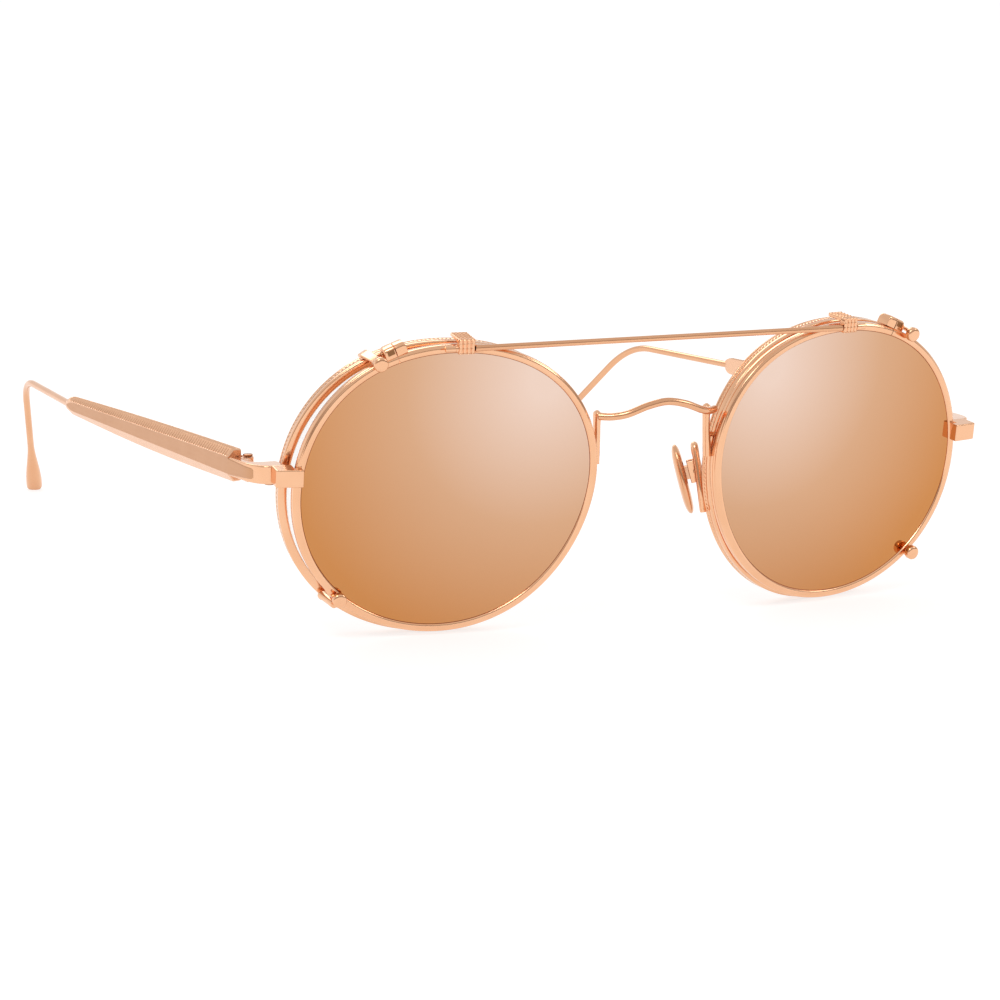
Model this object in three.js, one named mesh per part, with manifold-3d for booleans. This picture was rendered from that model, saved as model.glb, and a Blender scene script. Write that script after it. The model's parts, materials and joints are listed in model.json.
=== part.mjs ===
// Round metal spectacles with a clip-on mirrored sun front, in millimetres, +Z up.
// The front faces -Y, +X is the wearer's left, and the object stands on its rims and temple tips.
import * as THREE from "three";
import { mergeVertices } from "three/addons/utils/BufferGeometryUtils.js";
import Module from "manifold-3d";

const wasm = await Module();
wasm.setup();

// ---- Driving dimensions ---------------------------------------------------------------------------

const GAP = 0.3; // left between touching pieces

// lens outline: an oval leaning outwards, with full shoulders and slightly soft corners
const LENS_WIDTH = 47.1;
const LENS_HEIGHT = 44.2;
const LENS_LEAN = THREE.MathUtils.degToRad(-15);
const SHOULDER = 0.0118;
const CORNER = 0.0083;
const CORNER_LEAN = THREE.MathUtils.degToRad(56);
const LENS_THICK = 1.0;
const RIM_STEPS = 72;

// clip-on front
const LENS_PITCH = 70; // between the two lens centres
const CLIP_WRAP = THREE.MathUtils.degToRad(7.7);
const TILT = THREE.MathUtils.degToRad(7.7); // top of the front leans forwards
const CLIP_RIM_WIDTH = 1.2;
const CLIP_RIM_DEPTH = 1.7;
const CLIP_SET_BACK = 0.15; // the rim reaches further behind its lens than in front

// spectacle front behind it
const BASE_BACK = 4.0; // rim centre behind the clip's lens centre
const BASE_OUT = 0.15;
const BASE_EXTRA_WRAP = THREE.MathUtils.degToRad(3.2);
const BASE_RIM_WIDTH = 1.4;
const BASE_RIM_DEPTH = 2.3;
const BASE_OVERSIZE = 0.35; // its outer edge beyond the clip's outer edge

// top bar and its two hooks
const BAR_DIAMETER = 1.0;
const BAR_PROUD = 1.9; // bar centre in front of the lens plane
const BAR_ABOVE = 0.95; // bar centre above the lens edge
const STUB_LENGTH = 2.0;
const HOOK_WIDTH = 2.65;
const HOOK_INSET = 0.3; // its outer side, nasal of the lens centre
const HOOK_PROUD = 2.55;
const HOOK_BLOCK_DEPTH = 1.4;
const HOOK_DROP = 2.45;
const HOOK_ABOVE = 1.4; // its top above the rim's outer edge
const HOOK_PLATE_THICK = 0.65;
const HOOK_REACH = 2.2;

// claws, lugs and rim lock of the clip-on
const CLAW_DIAMETER = 2.3;
const CLAW_PROUD = 2.5;
const CLAW_HEAD_DEPTH = 1.2;
const UPPER_CLAW_RISE = 1.5; // head centre beyond the lens edge
const LOWER_CLAW_RISE = 0.8;
const UPPER_CLAW_ANGLE = THREE.MathUtils.degToRad(60);
const LOWER_CLAW_ANGLE = THREE.MathUtils.degToRad(-45);
const STRAP_WIDTH = 1.6;
const STRAP_THICK = 0.6;
const STRAP_LENGTH = 7.1;
const SHAFT_DIAMETER = 1.5;
const SHAFT_LENGTH = 6.4;
const SHAFT_RISE = 1.75;
const LUG_WIDTH = 4.3;
const LUG_HEIGHT = 2.8;
const LUG_BASE = 1.6; // underside above the lens centre
const LUG_PROUD = 2.2;
const LUG_DEPTH = 3.4;
const LUG_OVERLAP = 1.2; // how far the lug covers the rim
const LUG_SWEEP = 0.5; // its outer edge lies this much further back
const LOCK_ANGLE = THREE.MathUtils.degToRad(67.5);
const LOCK_LENGTH = 3.6;
const LOCK_DEPTH = 2.6;
const LOCK_HEIGHT = 1.5;
const LOCK_SCREW_RADIUS = 0.26;
const LOCK_HEAD_LENGTH = 0.5;
const SCREW_CLEARANCE = 0.08;
const SEAM = 0.3;

// end piece and hinge
const END_HEIGHT = 2.9;
const END_BOTTOM = 1.5;
const END_SEAM_ANGLE = 0.12; // where the base rim is slit, behind the end piece
const END_CORNER_Y = 9.6; // where the tongue's straight run starts
const TONGUE_X = (LENS_PITCH + LENS_WIDTH) / 2 + 6.55; // outer face at the hinge
const TONGUE_THICK = 1.4;
const HINGE_Y = 14.6;
const HINGE_INSET = 3.1; // pin behind the tongue's outer face
const KNUCKLE_RADIUS = 0.9;
const PIN_RADIUS = 0.4;
const PIN_CLEARANCE = 0.08;
const HINGE_BOTTOM = 1.0;
const HINGE_HEIGHT = 3.4;
const KNUCKLE_GAP = 0.2;
const LEAF_THICK = 0.6;
const LEAF_LENGTH = 3.6;
const FRONT_LEAF_LENGTH = 2.4;

// temples
const BAR_START = 15.2;
const BAR_LENGTH = 73;
const BAR_HEIGHT_FRONT = 5.2;
const BAR_HEIGHT_REAR = 2.9;
const BAR_THICK_FRONT = 2.2;
const BAR_THICK_REAR = 1.5;
const BAR_MIDDLE_Z = 3.05;
const BAR_REAR_X = TONGUE_X - 0.6; // middle of the bar's rear end
const BEVEL = 0.2; // share of the bar's height
const WIRE_DIAMETER = 1.2;
const WIRE_STRAIGHT = 25;
const WIRE_TOE_IN = THREE.MathUtils.degToRad(6);
const EAR_BEND = 14; // length of the curve over the ear
const EAR_DROP = THREE.MathUtils.degToRad(43);
const EAR_TOE_IN = THREE.MathUtils.degToRad(23);
const EAR_LENGTH = 27.5;
const TIP_WIDTH = 2.9;
const TIP_LENGTH = 14;
const EAR_STEPS = 7;
const TIP_STEPS = 8;
const WIRE_SIDES = 10;

// bridge, posts and nose pads
const POST_X = (LENS_PITCH - LENS_WIDTH) / 2 - 1.65;
const BRIDGE_HALF = POST_X + 0.6;
const BRIDGE_DIAMETER = 1.2;
const BRIDGE_BOW = 3.3; // its middle in front of its ends
const BRIDGE_RISE = 2.2; // its middle above its ends
const BRIDGE_END_Z = 10.15;
// half of the bridge, middle first: share of its half width, of its bow and of its rise
const BRIDGE_SHAPE = [[0, 1, 1], [0.32, 0.97, 0.75], [0.63, 0.8, 0.22], [0.83, 0.4, 0], [1, 0, 0]];
const POST_WIDTH = 1.1;
const POST_DEPTH = 1.4;
const POST_FRONT_Y = -2.8;
const POST_BOTTOM_Z = 2.4;
const POST_TOP_Z = 10.9;
const PAD_OUT = 0.5; // beyond the bridge post
const PAD_BEHIND = 2.2; // behind the rim
const PAD_LEVEL = -2.6;
const PAD_CENTRE = new THREE.Vector3(POST_X + PAD_OUT, BASE_BACK + PAD_BEHIND, PAD_LEVEL);
const PAD_LENGTH = 11.6;
const PAD_WIDTH = 6.6;
const PAD_THICK = 1.6;
const PAD_SPLAY = THREE.MathUtils.degToRad(26);
const PAD_LEAN = THREE.MathUtils.degToRad(15);
const PAD_TO_BOX = 2.35;
const PAD_BOX_Y = 0.9; // its middle above the pad's
const PAD_TAB_HEIGHT = 2.2;
const PAD_TAB_REACH = 0.45; // beyond the screw
const PAD_BOX_SIZE = new THREE.Vector3(2.1, 3.6, 2.3);
const PAD_BOX_WALL = 0.4;
const PAD_SCREW_RADIUS = 0.28;
const ARM_DIAMETER = 1.1;
const ARM_FOOT_ANGLE = THREE.MathUtils.degToRad(198);
const ARM_RISE = 0.75;
const ARM_SETBACK = 0.6;
const ARM_CLIMB_IN = 0.4; // its rise, nasal of its foot
const ARM_CLIMB_BACK = 0.6;
const ARM_APEX_IN = 0.8;

// ---- Materials ------------------------------------------------------------------------------------

const polished = new THREE.MeshStandardMaterial({ color: 0xeeb491, roughness: 0.16, metalness: 1 });
const satin = new THREE.MeshStandardMaterial({ color: 0xe6aa84, roughness: 0.32, metalness: 1 });
const dark = new THREE.MeshStandardMaterial({ color: 0xb87a50, roughness: 0.3, metalness: 1 });
const mirrorTint = new THREE.MeshStandardMaterial({ color: 0xd6a078, roughness: 0.05, metalness: 0.9 });
const clearLens = new THREE.MeshStandardMaterial({
  color: 0xf4f6f5,
  roughness: 0.03,
  metalness: 0,
  transparent: true,
  opacity: 0.3,
});

// ---- Solids ---------------------------------------------------------------------------------------

// A closed geometry as a solid, for joining and cutting.
function solid(geometry) {
  const bare = geometry.clone();
  bare.deleteAttribute("normal");
  bare.deleteAttribute("uv");
  const merged = mergeVertices(bare, 1e-4);
  return new wasm.Manifold(
    new wasm.Mesh({
      numProp: 3,
      vertProperties: merged.attributes.position.array,
      triVerts: new Uint32Array(merged.index.array),
    }),
  );
}

// A solid as a geometry again.
function shell(manifold) {
  const mesh = manifold.getMesh();
  const geometry = new THREE.BufferGeometry();
  geometry.setAttribute("position", new THREE.BufferAttribute(mesh.vertProperties, 3));
  geometry.setIndex(new THREE.BufferAttribute(mesh.triVerts, 1));
  return geometry;
}

const join = (...geometries) => shell(geometries.map(solid).reduce((a, b) => a.add(b)));
const cut = (geometry, ...tools) => shell(tools.map(solid).reduce((a, b) => a.subtract(b), solid(geometry)));

// A closed skin over a row of rings with equal point counts, capped at both ends.
function loft(rings) {
  const count = rings[0].length;
  const last = rings.length - 1;
  const points = rings.flat();
  const faces = [];
  for (let ring = 0; ring < last; ring++) {
    for (let i = 0; i < count; i++) {
      const a = ring * count + i;
      const b = ring * count + ((i + 1) % count);
      faces.push(a, b, b + count, a, b + count, a + count);
    }
  }
  for (let i = 1; i < count - 1; i++) {
    faces.push(0, i + 1, i);
    faces.push(last * count, last * count + i, last * count + i + 1);
  }
  const geometry = new THREE.BufferGeometry().setFromPoints(points);
  geometry.setIndex(faces);
  return geometry;
}

// A round wire along a curve.
function wire(curve, diameter, steps, sides = 10) {
  const section = new THREE.Shape();
  section.absarc(0, 0, diameter / 2, 0, 2 * Math.PI);
  return new THREE.ExtrudeGeometry(section, { steps, curveSegments: sides, bevelEnabled: false, extrudePath: curve });
}

// A shape drawn in the XZ plane, from y = front back to y = front + depth.
function plate(shape, front, depth) {
  const geometry = new THREE.ExtrudeGeometry(shape, { depth, bevelEnabled: false, curveSegments: 12 });
  return geometry.rotateX(Math.PI / 2).translate(0, front + depth, 0);
}

// A shape drawn in the XY plane, from z = bottom up.
function slab(shape, bottom, height) {
  const geometry = new THREE.ExtrudeGeometry(shape, { depth: height, bevelEnabled: false, curveSegments: 8 });
  return geometry.translate(0, 0, bottom);
}

function box(x0, x1, y0, y1, z0, z1) {
  const geometry = new THREE.BoxGeometry(x1 - x0, y1 - y0, z1 - z0);
  return geometry.translate((x0 + x1) / 2, (y0 + y1) / 2, (z0 + z1) / 2);
}

function polygon(...corners) {
  return new THREE.Shape(corners.map(([x, y]) => new THREE.Vector2(x, y)));
}

// A tube standing on z = bottom, or a plain cylinder when its inner radius is 0.
function barrel(outer, inner, bottom, height) {
  const top = bottom + height;
  const corners = [[inner, bottom], [outer, bottom], [outer, top], [inner, top]];
  if (inner > 0) corners.push([inner, bottom]);
  return new THREE.LatheGeometry(corners.map(([r, z]) => new THREE.Vector2(r, z)), 16).rotateX(Math.PI / 2);
}

// A cylinder lying along X, from x0 to x1.
function rod(radius, x0, x1, y, z) {
  return new THREE.CylinderGeometry(radius, radius, x1 - x0, 12).rotateZ(Math.PI / 2).translate((x0 + x1) / 2, y, z);
}

// ---- Lens outline ---------------------------------------------------------------------------------

const MEAN_RADIUS = (LENS_WIDTH + LENS_HEIGHT) / 4;
const OVAL = (LENS_WIDTH - LENS_HEIGHT) / (LENS_WIDTH + LENS_HEIGHT) / Math.cos(2 * LENS_LEAN);

// Distance of the lens edge from its centre; 0 points outwards, a quarter turn points up.
function edge(angle) {
  return MEAN_RADIUS * (1 + OVAL * Math.cos(2 * (angle - LENS_LEAN)) + SHOULDER * Math.sin(3 * angle)
    + CORNER * Math.cos(4 * (angle - CORNER_LEAN)));
}

const rimPoint = (angle, grow) => new THREE.Vector2(
  (edge(angle) + grow) * Math.cos(angle),
  (edge(angle) + grow) * Math.sin(angle),
);

function outline(grow, from = 0, to = 2 * Math.PI) {
  const points = [];
  for (let i = 0; i <= RIM_STEPS; i++) points.push(rimPoint(from + ((to - from) * i) / RIM_STEPS, grow));
  return points;
}

// A flat ring between two offsets of the lens edge, open by a seam at one angle when one is given.
function ring(inner, outer, front, depth, seamAngle = null) {
  if (seamAngle === null) {
    const shape = new THREE.Shape(outline(outer).slice(0, -1));
    shape.holes.push(new THREE.Path(outline(inner).slice(0, -1)));
    return plate(shape, front, depth);
  }
  const half = SEAM / 2 / edge(seamAngle);
  const from = seamAngle + half;
  const to = seamAngle + 2 * Math.PI - half;
  return plate(new THREE.Shape([...outline(outer, from, to), ...outline(inner, from, to).reverse()]), front, depth);
}

const lens = (grow, thickness) => plate(new THREE.Shape(outline(grow).slice(0, -1)), -thickness / 2, thickness);

const CLIP_FRONT = CLIP_SET_BACK - CLIP_RIM_DEPTH / 2;
const BASE_OUTER = CLIP_RIM_WIDTH + BASE_OVERSIZE;
const BASE_INNER = BASE_OUTER - BASE_RIM_WIDTH;

// ---- Frames of reference --------------------------------------------------------------------------

const parts = new THREE.Group();

function add(group, name, geometry, material) {
  const mesh = new THREE.Mesh(geometry, material);
  mesh.name = name;
  group.add(mesh);
}

// The plane of one lens: x outwards, y towards the wearer, z up.
function lensPlane(x, y, wrap) {
  const plane = new THREE.Group();
  plane.position.set(x, y, 0);
  plane.rotation.set(TILT, 0, wrap, "ZYX");
  plane.updateMatrix();
  return plane;
}

const clipPlane = () => lensPlane(LENS_PITCH / 2, 0, CLIP_WRAP);
const basePlane = () => lensPlane(LENS_PITCH / 2 + BASE_OUT, BASE_BACK, CLIP_WRAP + BASE_EXTRA_WRAP);
const CLIP_TO_FRAME = clipPlane().matrix;
const BASE_TO_FRAME = basePlane().matrix;
const BASE_TO_CLIP = CLIP_TO_FRAME.clone().invert().multiply(BASE_TO_FRAME);

// The room a rim needs around it.
const clipRimRoom = () => ring(-GAP, CLIP_RIM_WIDTH + GAP, CLIP_FRONT - GAP, CLIP_RIM_DEPTH + 2 * GAP);
const baseRimRoom = () => ring(BASE_INNER - GAP, BASE_OUTER + GAP, -BASE_RIM_DEPTH / 2 - GAP, BASE_RIM_DEPTH + 2 * GAP);

// ---- Clip-on front --------------------------------------------------------------------------------

// Turns a piece drawn with its radial direction along +Z to an angle of the rim.
const toAngle = (geometry, angle) => geometry.rotateY(Math.PI / 2 - angle);

function hook() {
  const outer = -HOOK_INSET;
  const inner = outer - HOOK_WIDTH;
  const top = edge(Math.PI / 2) + CLIP_RIM_WIDTH + HOOK_ABOVE;
  const block = box(inner, outer, -HOOK_PROUD, -HOOK_PROUD + HOOK_BLOCK_DEPTH, top - HOOK_DROP, top);
  const cover = box(inner, outer, -HOOK_PROUD, HOOK_REACH, top - HOOK_PLATE_THICK, top);
  return cut(join(block, cover), clipRimRoom());
}

const barAxis = (x) => new THREE.Vector3(x, -BAR_PROUD, edge(Math.PI / 2) + BAR_ABOVE);

function barStub() {
  const from = -HOOK_INSET + GAP;
  return wire(new THREE.LineCurve3(barAxis(from), barAxis(from + STUB_LENGTH)), BAR_DIAMETER, 1);
}

function topBar() {
  const end = barAxis(-HOOK_INSET - HOOK_WIDTH - 1.5 * GAP).applyMatrix4(CLIP_TO_FRAME);
  return wire(new THREE.LineCurve3(end.clone().setX(-end.x), end), BAR_DIAMETER, 1, 12);
}

function clawHead(radius) {
  const head = new THREE.CylinderGeometry(CLAW_DIAMETER / 2, CLAW_DIAMETER / 2, CLAW_HEAD_DEPTH, 16);
  return head.translate(0, -CLAW_PROUD + CLAW_HEAD_DEPTH / 2, radius);
}

// Claws run back along the direction in which the clip-on is drawn off the frame.
function clawArm(geometry, angle, radius) {
  const start = new THREE.Vector3(radius * Math.cos(angle), -CLAW_PROUD + CLAW_HEAD_DEPTH / 2, radius * Math.sin(angle));
  return toAngle(geometry, angle).rotateZ(-CLIP_WRAP).translate(start.x, start.y, start.z);
}

// A head in front of the clip rim and a flat strap over the top of both rims.
function upperClaw() {
  const angle = UPPER_CLAW_ANGLE;
  const half = STRAP_WIDTH / 2;
  const strap = box(-half, half, 0, STRAP_LENGTH, -STRAP_THICK / 2, STRAP_THICK / 2);
  const radius = edge(angle) + CLIP_RIM_WIDTH + GAP + STRAP_THICK / 2;
  const head = toAngle(clawHead(edge(angle) + UPPER_CLAW_RISE), angle);
  return cut(join(head, clawArm(strap, angle, radius)), clipRimRoom());
}

// A head in front of the clip rim and a round shaft back to the outer edge of the base rim.
function lowerClaw() {
  const angle = LOWER_CLAW_ANGLE;
  const shaft = new THREE.CylinderGeometry(SHAFT_DIAMETER / 2, SHAFT_DIAMETER / 2, SHAFT_LENGTH, 14);
  shaft.translate(0, SHAFT_LENGTH / 2, 0);
  const head = toAngle(clawHead(edge(angle) + LOWER_CLAW_RISE), angle);
  const claw = join(head, clawArm(shaft, angle, edge(angle) + SHAFT_RISE));
  return cut(claw, clipRimRoom(), baseRimRoom().applyMatrix4(BASE_TO_CLIP));
}

const LUG_INNER = edge(0) + CLIP_RIM_WIDTH - LUG_OVERLAP;
const LUG_OUTER = LUG_INNER + LUG_WIDTH;
const LUG_REAR = LUG_DEPTH - LUG_PROUD;

function lug() {
  const behindRim = edge(0) + CLIP_RIM_WIDTH + GAP;
  const plan = polygon(
    [LUG_INNER, -LUG_PROUD],
    [LUG_OUTER, -LUG_PROUD + LUG_SWEEP],
    [LUG_OUTER, LUG_REAR],
    [behindRim, LUG_REAR],
    [behindRim, CLIP_FRONT - GAP],
    [LUG_INNER, CLIP_FRONT - GAP],
  );
  return cut(slab(plan, LUG_BASE, LUG_HEIGHT), clipRimRoom());
}

const lockBottom = edge(LOCK_ANGLE) + CLIP_RIM_WIDTH + GAP;
const lockScrewAt = [CLIP_FRONT + LOCK_DEPTH / 2, lockBottom + LOCK_HEIGHT / 2];

// One half of the barrel that closes the clip's rim around its lens; end is 1 or -1 along the rim.
function lockHalf(end) {
  const near = (end * SEAM) / 2;
  const far = (end * LOCK_LENGTH) / 2;
  const half = box(Math.min(near, far), Math.max(near, far), CLIP_FRONT, CLIP_FRONT + LOCK_DEPTH,
    lockBottom, lockBottom + LOCK_HEIGHT);
  const hole = rod(LOCK_SCREW_RADIUS + SCREW_CLEARANCE, -LOCK_LENGTH, LOCK_LENGTH, ...lockScrewAt);
  return toAngle(cut(half, hole), LOCK_ANGLE);
}

function lockScrew() {
  const end = LOCK_LENGTH / 2;
  const shank = rod(LOCK_SCREW_RADIUS, -end, end + GAP, ...lockScrewAt);
  const head = rod(LOCK_SCREW_RADIUS * 1.7, end + GAP / 2, end + GAP / 2 + LOCK_HEAD_LENGTH, ...lockScrewAt);
  return toAngle(join(shank, head), LOCK_ANGLE);
}

function buildClip(side, group) {
  const plane = clipPlane();
  group.add(plane);
  const clipRim = ring(0, CLIP_RIM_WIDTH, CLIP_FRONT, CLIP_RIM_DEPTH, LOCK_ANGLE);
  add(plane, `clip_rim_${side}`, clipRim, polished);
  add(plane, `mirror_lens_${side}`, lens(-GAP, LENS_THICK), mirrorTint);
  add(plane, `hook_${side}`, hook(), satin);
  add(plane, `bar_stub_${side}`, barStub(), polished);
  add(plane, `upper_claw_${side}`, upperClaw(), polished);
  add(plane, `lower_claw_${side}`, lowerClaw(), polished);
  add(plane, `lug_${side}`, lug(), polished);
  add(plane, `lock_inner_${side}`, lockHalf(-1), polished);
  add(plane, `lock_outer_${side}`, lockHalf(1), polished);
  add(plane, `lock_screw_${side}`, lockScrew(), dark);
}

// ---- Spectacle front ------------------------------------------------------------------------------

const framePoint = (matrix, x, y, z) => new THREE.Vector3(x, y, z).applyMatrix4(matrix);
const END_MIDDLE = END_BOTTOM + END_HEIGHT / 2;
const TONGUE_END = BAR_START - GAP;
const TONGUE_INNER = TONGUE_X - TONGUE_THICK;
const PIN_X = TONGUE_X - HINGE_INSET;

// From behind the clip's lug, round the corner and back to the hinge.
function endPiece() {
  const frontInner = framePoint(CLIP_TO_FRAME, edge(0) + CLIP_RIM_WIDTH + GAP, LUG_REAR + GAP, END_MIDDLE);
  const frontOuter = framePoint(CLIP_TO_FRAME, LUG_OUTER, LUG_REAR + GAP, END_MIDDLE);
  const atRim = framePoint(BASE_TO_FRAME, edge(0) + BASE_OUTER + GAP, 0, END_MIDDLE);
  const plan = new THREE.Shape();
  plan.moveTo(atRim.x, frontInner.y);
  plan.lineTo(frontOuter.x, frontOuter.y);
  plan.quadraticCurveTo(TONGUE_X - 0.4, frontOuter.y + 0.6, TONGUE_X - 0.2, END_CORNER_Y);
  plan.lineTo(TONGUE_X, TONGUE_END);
  plan.lineTo(TONGUE_INNER, TONGUE_END);
  plan.lineTo(TONGUE_INNER - 0.1, END_CORNER_Y + 1);
  plan.quadraticCurveTo(TONGUE_INNER - 0.3, atRim.y + 0.7, atRim.x + 1.5, atRim.y + 0.7);
  plan.lineTo(atRim.x, atRim.y + 0.7);
  return cut(slab(plan, END_BOTTOM, END_HEIGHT), baseRimRoom().applyMatrix4(BASE_TO_FRAME));
}

// Closes the base rim from below, inside the end piece's corner.
function endScrew() {
  const place = framePoint(BASE_TO_FRAME, edge(0) + BASE_OUTER, 0, END_MIDDLE);
  const height = 0.5;
  return barrel(0.75, 0, END_BOTTOM - GAP - height, height).translate(place.x + 1.8, place.y - 1.2, 0);
}

const KNUCKLE_HEIGHT = (HINGE_HEIGHT - 2 * KNUCKLE_GAP) / 3;
const knuckleBottom = (level) => HINGE_BOTTOM + level * (KNUCKLE_HEIGHT + KNUCKLE_GAP);

// One knuckle and the neck that joins it to its leaf; toRear is 1 on the temple and -1 on the front.
function knuckle(level, toRear, neckOuterX) {
  const bottom = knuckleBottom(level);
  const tube = barrel(KNUCKLE_RADIUS, PIN_RADIUS + PIN_CLEARANCE, bottom, KNUCKLE_HEIGHT);
  const nearY = HINGE_Y + toRear * (PIN_RADIUS + 0.15);
  const farY = HINGE_Y + toRear * (KNUCKLE_RADIUS + 2 * GAP);
  const neck = box(PIN_X - 0.2, neckOuterX, Math.min(nearY, farY), Math.max(nearY, farY), bottom, bottom + KNUCKLE_HEIGHT);
  return join(tube.translate(PIN_X, HINGE_Y, 0), neck);
}

function frontLeaf() {
  const outerX = TONGUE_INNER - GAP;
  const rear = HINGE_Y - KNUCKLE_RADIUS - 1.5 * GAP;
  const leaf = box(outerX - LEAF_THICK, outerX, rear - FRONT_LEAF_LENGTH, rear, HINGE_BOTTOM, HINGE_BOTTOM + HINGE_HEIGHT);
  return join(leaf, knuckle(0, -1, outerX), knuckle(2, -1, outerX));
}

function templeLeaf() {
  const outerX = TONGUE_X - BAR_THICK_FRONT - GAP;
  const front = HINGE_Y + KNUCKLE_RADIUS + 1.3 * GAP;
  const leaf = box(outerX - LEAF_THICK, outerX, front, front + LEAF_LENGTH, HINGE_BOTTOM, HINGE_BOTTOM + HINGE_HEIGHT);
  return join(leaf, knuckle(1, 1, outerX));
}

function hingePin() {
  const top = HINGE_BOTTOM + HINGE_HEIGHT;
  const shank = barrel(PIN_RADIUS, 0, HINGE_BOTTOM - 0.1, HINGE_HEIGHT + 0.2 + GAP);
  const head = barrel(PIN_RADIUS * 1.9, 0, top + GAP / 2, 0.35);
  return join(shank, head).translate(PIN_X, HINGE_Y, 0);
}

function bridge() {
  const endY = POST_FRONT_Y - GAP - BRIDGE_DIAMETER / 2;
  const points = BRIDGE_SHAPE.map(([across, forward, up]) => new THREE.Vector3(
    across * BRIDGE_HALF,
    endY - forward * BRIDGE_BOW,
    BRIDGE_END_Z + up * BRIDGE_RISE,
  ));
  const otherHalf = points.slice(1).reverse().map((p) => p.clone().setX(-p.x));
  return wire(new THREE.CatmullRomCurve3([...otherHalf, ...points]), BRIDGE_DIAMETER, 32);
}

function post() {
  const half = POST_WIDTH / 2;
  return box(POST_X - half, POST_X + half, POST_FRONT_Y, POST_FRONT_Y + POST_DEPTH, POST_BOTTOM_Z, POST_TOP_Z);
}

// The frame of one nose pad: x along its width, y up its length, z away from the nose.
function padFrame() {
  const width = new THREE.Vector3(Math.sin(PAD_SPLAY), Math.cos(PAD_SPLAY), 0);
  const level = new THREE.Vector3(-Math.cos(PAD_SPLAY), Math.sin(PAD_SPLAY), 0);
  const up = new THREE.Vector3(0, 0, 1).multiplyScalar(Math.cos(PAD_LEAN)).addScaledVector(level, Math.sin(PAD_LEAN));
  const away = width.clone().cross(up);
  return new THREE.Matrix4().makeBasis(width, up, away).setPosition(PAD_CENTRE);
}

const TAB_THICK = PAD_BOX_SIZE.x - 2 * PAD_BOX_WALL - 2 * GAP;

const padScrewRod = (radius, half) => rod(radius, -half, half, PAD_BOX_Y, PAD_TO_BOX);

function nosePad() {
  const outlineShape = new THREE.Shape();
  outlineShape.absellipse(0, 0, PAD_WIDTH / 2, PAD_LENGTH / 2, 0, 2 * Math.PI);
  const face = new THREE.ExtrudeGeometry(outlineShape, { depth: PAD_THICK, bevelEnabled: false, curveSegments: 14 });
  face.translate(0, 0, -PAD_THICK / 2);
  const half = TAB_THICK / 2;
  const tab = box(-half, half, PAD_BOX_Y - PAD_TAB_HEIGHT / 2, PAD_BOX_Y + PAD_TAB_HEIGHT / 2,
    0, PAD_TO_BOX + PAD_TAB_REACH);
  return cut(join(face, tab), padScrewRod(PAD_SCREW_RADIUS + SCREW_CLEARANCE, PAD_BOX_SIZE.x));
}

// A clevis that takes the pad's tab.
function padBox() {
  const half = PAD_BOX_SIZE.clone().multiplyScalar(0.5);
  const block = box(-half.x, half.x, PAD_BOX_Y - half.y, PAD_BOX_Y + half.y, PAD_TO_BOX - half.z, PAD_TO_BOX + half.z);
  const slotHalf = half.x - PAD_BOX_WALL;
  const slot = box(-slotHalf, slotHalf, PAD_BOX_Y - 2 * half.y, PAD_BOX_Y + 2 * half.y,
    PAD_TO_BOX - 2 * half.z, PAD_TO_BOX + half.z - PAD_BOX_WALL);
  return cut(block, slot, padScrewRod(PAD_SCREW_RADIUS + SCREW_CLEARANCE, PAD_BOX_SIZE.x));
}

// From the rim's nasal side up, over and down onto the top of the pad's box.
function padArm() {
  const footRadius = edge(ARM_FOOT_ANGLE) + BASE_OUTER + GAP + ARM_DIAMETER / 2;
  const foot = framePoint(
    BASE_TO_FRAME,
    footRadius * Math.cos(ARM_FOOT_ANGLE),
    BASE_RIM_DEPTH / 2,
    footRadius * Math.sin(ARM_FOOT_ANGLE),
  );
  const boxTop = PAD_BOX_Y + PAD_BOX_SIZE.y / 2 + GAP;
  const end = framePoint(padFrame(), 0, boxTop, PAD_TO_BOX + ARM_SETBACK);
  const above = framePoint(padFrame(), 0, boxTop + ARM_DIAMETER, PAD_TO_BOX + ARM_SETBACK);
  const climb = new THREE.Vector3(foot.x - ARM_CLIMB_IN, foot.y + ARM_CLIMB_BACK, (foot.z + above.z) / 2);
  const apex = new THREE.Vector3(above.x - ARM_APEX_IN, (climb.y + above.y) / 2, above.z + ARM_RISE);
  return wire(new THREE.CatmullRomCurve3([foot, climb, apex, above, end]), ARM_DIAMETER, 22, 8);
}

function buildFront(side, group) {
  const plane = basePlane();
  group.add(plane);
  const rim = ring(BASE_INNER, BASE_OUTER, -BASE_RIM_DEPTH / 2, BASE_RIM_DEPTH, END_SEAM_ANGLE);
  add(plane, `base_rim_${side}`, rim, polished);
  add(plane, `clear_lens_${side}`, lens(BASE_INNER - GAP, LENS_THICK), clearLens);
  add(group, `end_piece_${side}`, endPiece(), polished);
  add(group, `end_screw_${side}`, endScrew(), dark);
  add(group, `front_leaf_${side}`, frontLeaf(), satin);
  add(group, `hinge_pin_${side}`, hingePin(), dark);
  add(group, `bridge_post_${side}`, post(), polished);
  add(group, `pad_arm_${side}`, padArm(), polished);
  const pad = new THREE.Group();
  pad.applyMatrix4(padFrame());
  group.add(pad);
  add(pad, `pad_box_${side}`, padBox(), satin);
  add(pad, `pad_screw_${side}`, padScrewRod(PAD_SCREW_RADIUS, PAD_BOX_SIZE.x / 2 + 0.1), dark);
  add(pad, `nose_pad_${side}`, nosePad(), polished);
}

// ---- Temples --------------------------------------------------------------------------------------

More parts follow.
